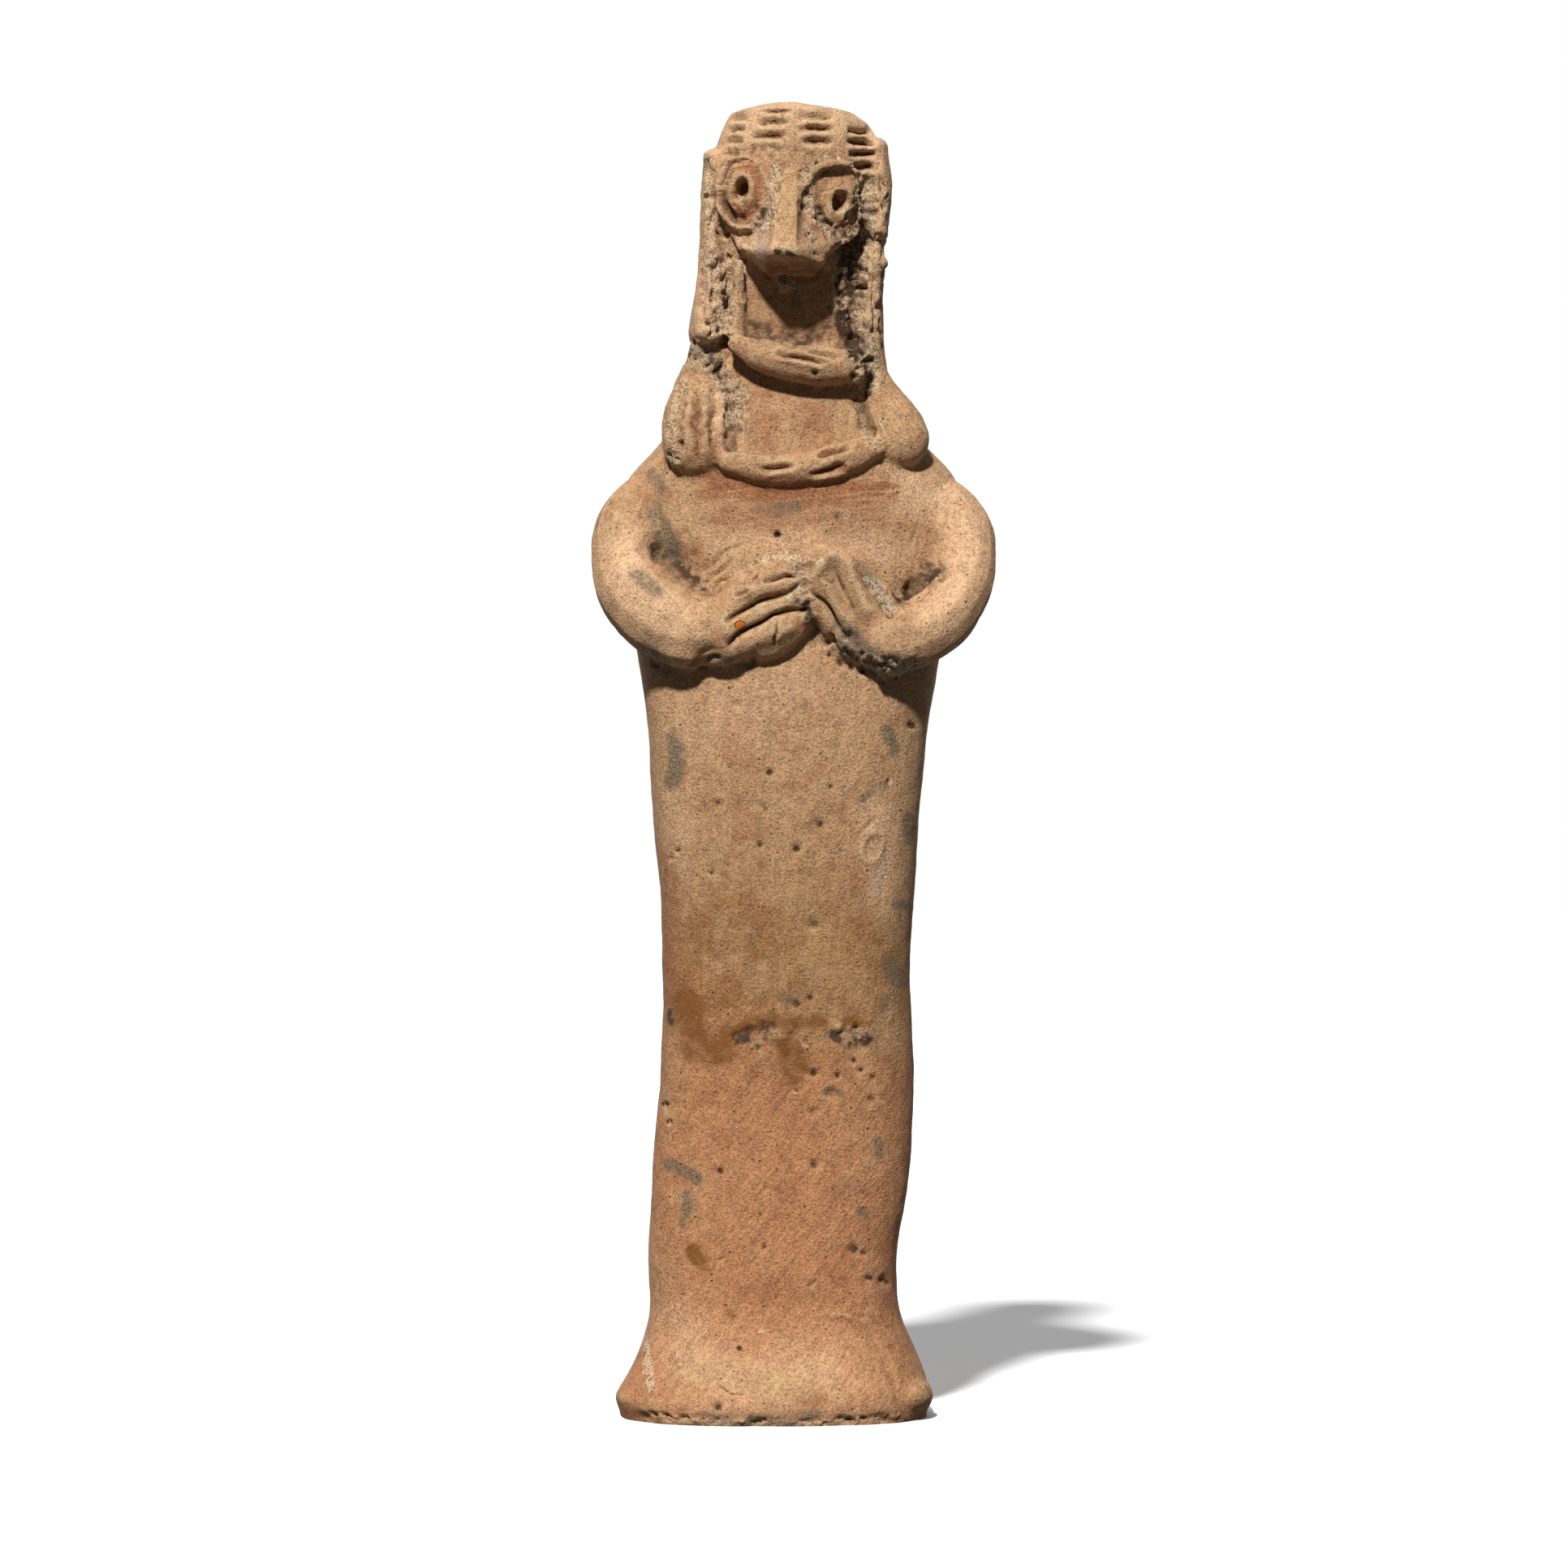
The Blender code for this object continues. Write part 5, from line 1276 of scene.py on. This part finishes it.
    pores = clay.plus(dark_specks, large_specks)
    height = clay.times(mottled, MOTTLED_RELIEF)
    height = clay.plus(height, clay.times(gritty, GRITTY_RELIEF))
    height = clay.plus(height, clay.times(wiped, WIPED_RELIEF))
    height = clay.sum("SUBTRACT", height, clay.times(pores, PORE_RELIEF))
    crumb = clay.times(clay.sum("MAXIMUM", crusted, clay.mark("pale")), gritty)
    height = clay.plus(height, crumb)
    height = clay.times(height, clay.sum("SUBTRACT", 1.0, drop))
    bump = {"Height": height, "Distance": BUMP_HEIGHT, "Strength": 1.0}
    clay.fill(clay.shader.inputs["Normal"], clay.node("ShaderNodeBump", bump))
    return material


def terracotta_figure():
    clay = bmesh.new()
    for form in (trunk, arms, hair, collars, eyes, beak, foot_corners):
        form(clay)
    bmesh.ops.recalc_face_normals(clay, faces=clay.faces[:])
    lumps = bpy.data.meshes.new("lumps")
    clay.to_mesh(lumps)
    clay.free()
    mesh = evaluated_copy(lumps, fuse)
    work_the_clay(mesh)
    mesh = evaluated_copy(mesh, thin_out)
    cut_underside(mesh)
    store_marks(mesh)
    mesh.name = "figure_clay"
    mesh.materials.clear()
    mesh.materials.append(clay_finish())
    mesh.shade_smooth()
    figure = put_in_scene("figure_clay", mesh)
    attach(figure, "root")
    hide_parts("terracotta_figure")


# The photograph's camera, level with the middle of the figure, and a plain pale studio
CAMERA_PLACE = (0.0015, -0.75, 0.0776)
SENSOR_WIDTH = 36.0
VIEW_WIDTH = 0.1932
CLIP_START = 0.01
CLIP_END = 20.0
KEY_DIRECTION = Vector((-0.16, -0.70, 0.70))
KEY_STRENGTH = 5.0
KEY_SPREAD = 4.5
REAR_DIRECTION = Vector((-0.1, 0.86, 0.5))
REAR_STRENGTH = 2.2
REAR_SPREAD = 80.0
FILL_STRENGTH = 0.07
FLOOR_SIZE = 6.0
FLOOR_COLOUR = colour(0.86, 0.86, 0.86)


def camera():
    data = bpy.data.cameras.new("camera")
    data.sensor_width = SENSOR_WIDTH
    data.lens = SENSOR_WIDTH * -CAMERA_PLACE[1] / VIEW_WIDTH
    data.clip_start = CLIP_START
    data.clip_end = CLIP_END
    obj = put_in_scene("camera", data)
    obj.location = CAMERA_PLACE
    obj.rotation_euler = (math.radians(90), 0.0, 0.0)
    bpy.context.scene.camera = obj


def floor():
    bpy.ops.mesh.primitive_plane_add(size=FLOOR_SIZE)
    obj = bpy.context.object
    obj.name = "floor"
    obj.visible_diffuse = False
    material = bpy.data.materials.new("floor")
    material.use_nodes = True
    shader = material.node_tree.nodes["Principled BSDF"]
    shader.inputs["Base Color"].default_value = FLOOR_COLOUR
    shader.inputs["Roughness"].default_value = 1.0
    shader.inputs["Specular IOR Level"].default_value = 0.0
    obj.data.materials.append(material)


def lamp(name, direction, strength, spread):
    data = bpy.data.lights.new(name, "SUN")
    data.energy = strength
    data.angle = math.radians(spread)
    put_in_scene(name, data).rotation_euler = direction.to_track_quat("Z", "Y").to_euler()


def lights():
    lamp("key", KEY_DIRECTION, KEY_STRENGTH, KEY_SPREAD)
    lamp("rear", REAR_DIRECTION, REAR_STRENGTH, REAR_SPREAD)
    world = bpy.data.worlds.new("studio")
    bpy.context.scene.world = world
    world.use_nodes = True
    tree = world.node_tree
    background = tree.nodes["Background"]
    background.inputs["Color"].default_value = colour(1.0, 1.0, 1.0)
    path = tree.nodes.new("ShaderNodeLightPath")
    strength = tree.nodes.new("ShaderNodeMapRange")
    strength.inputs["To Min"].default_value = FILL_STRENGTH
    strength.inputs["To Max"].default_value = 1.0
    tree.links.new(path.outputs["Is Camera Ray"], strength.inputs["Value"])
    tree.links.new(strength.outputs["Result"], background.inputs["Strength"])
    bpy.context.scene.view_settings.view_transform = "Standard"


terracotta_figure()
floor()
lights()
camera()
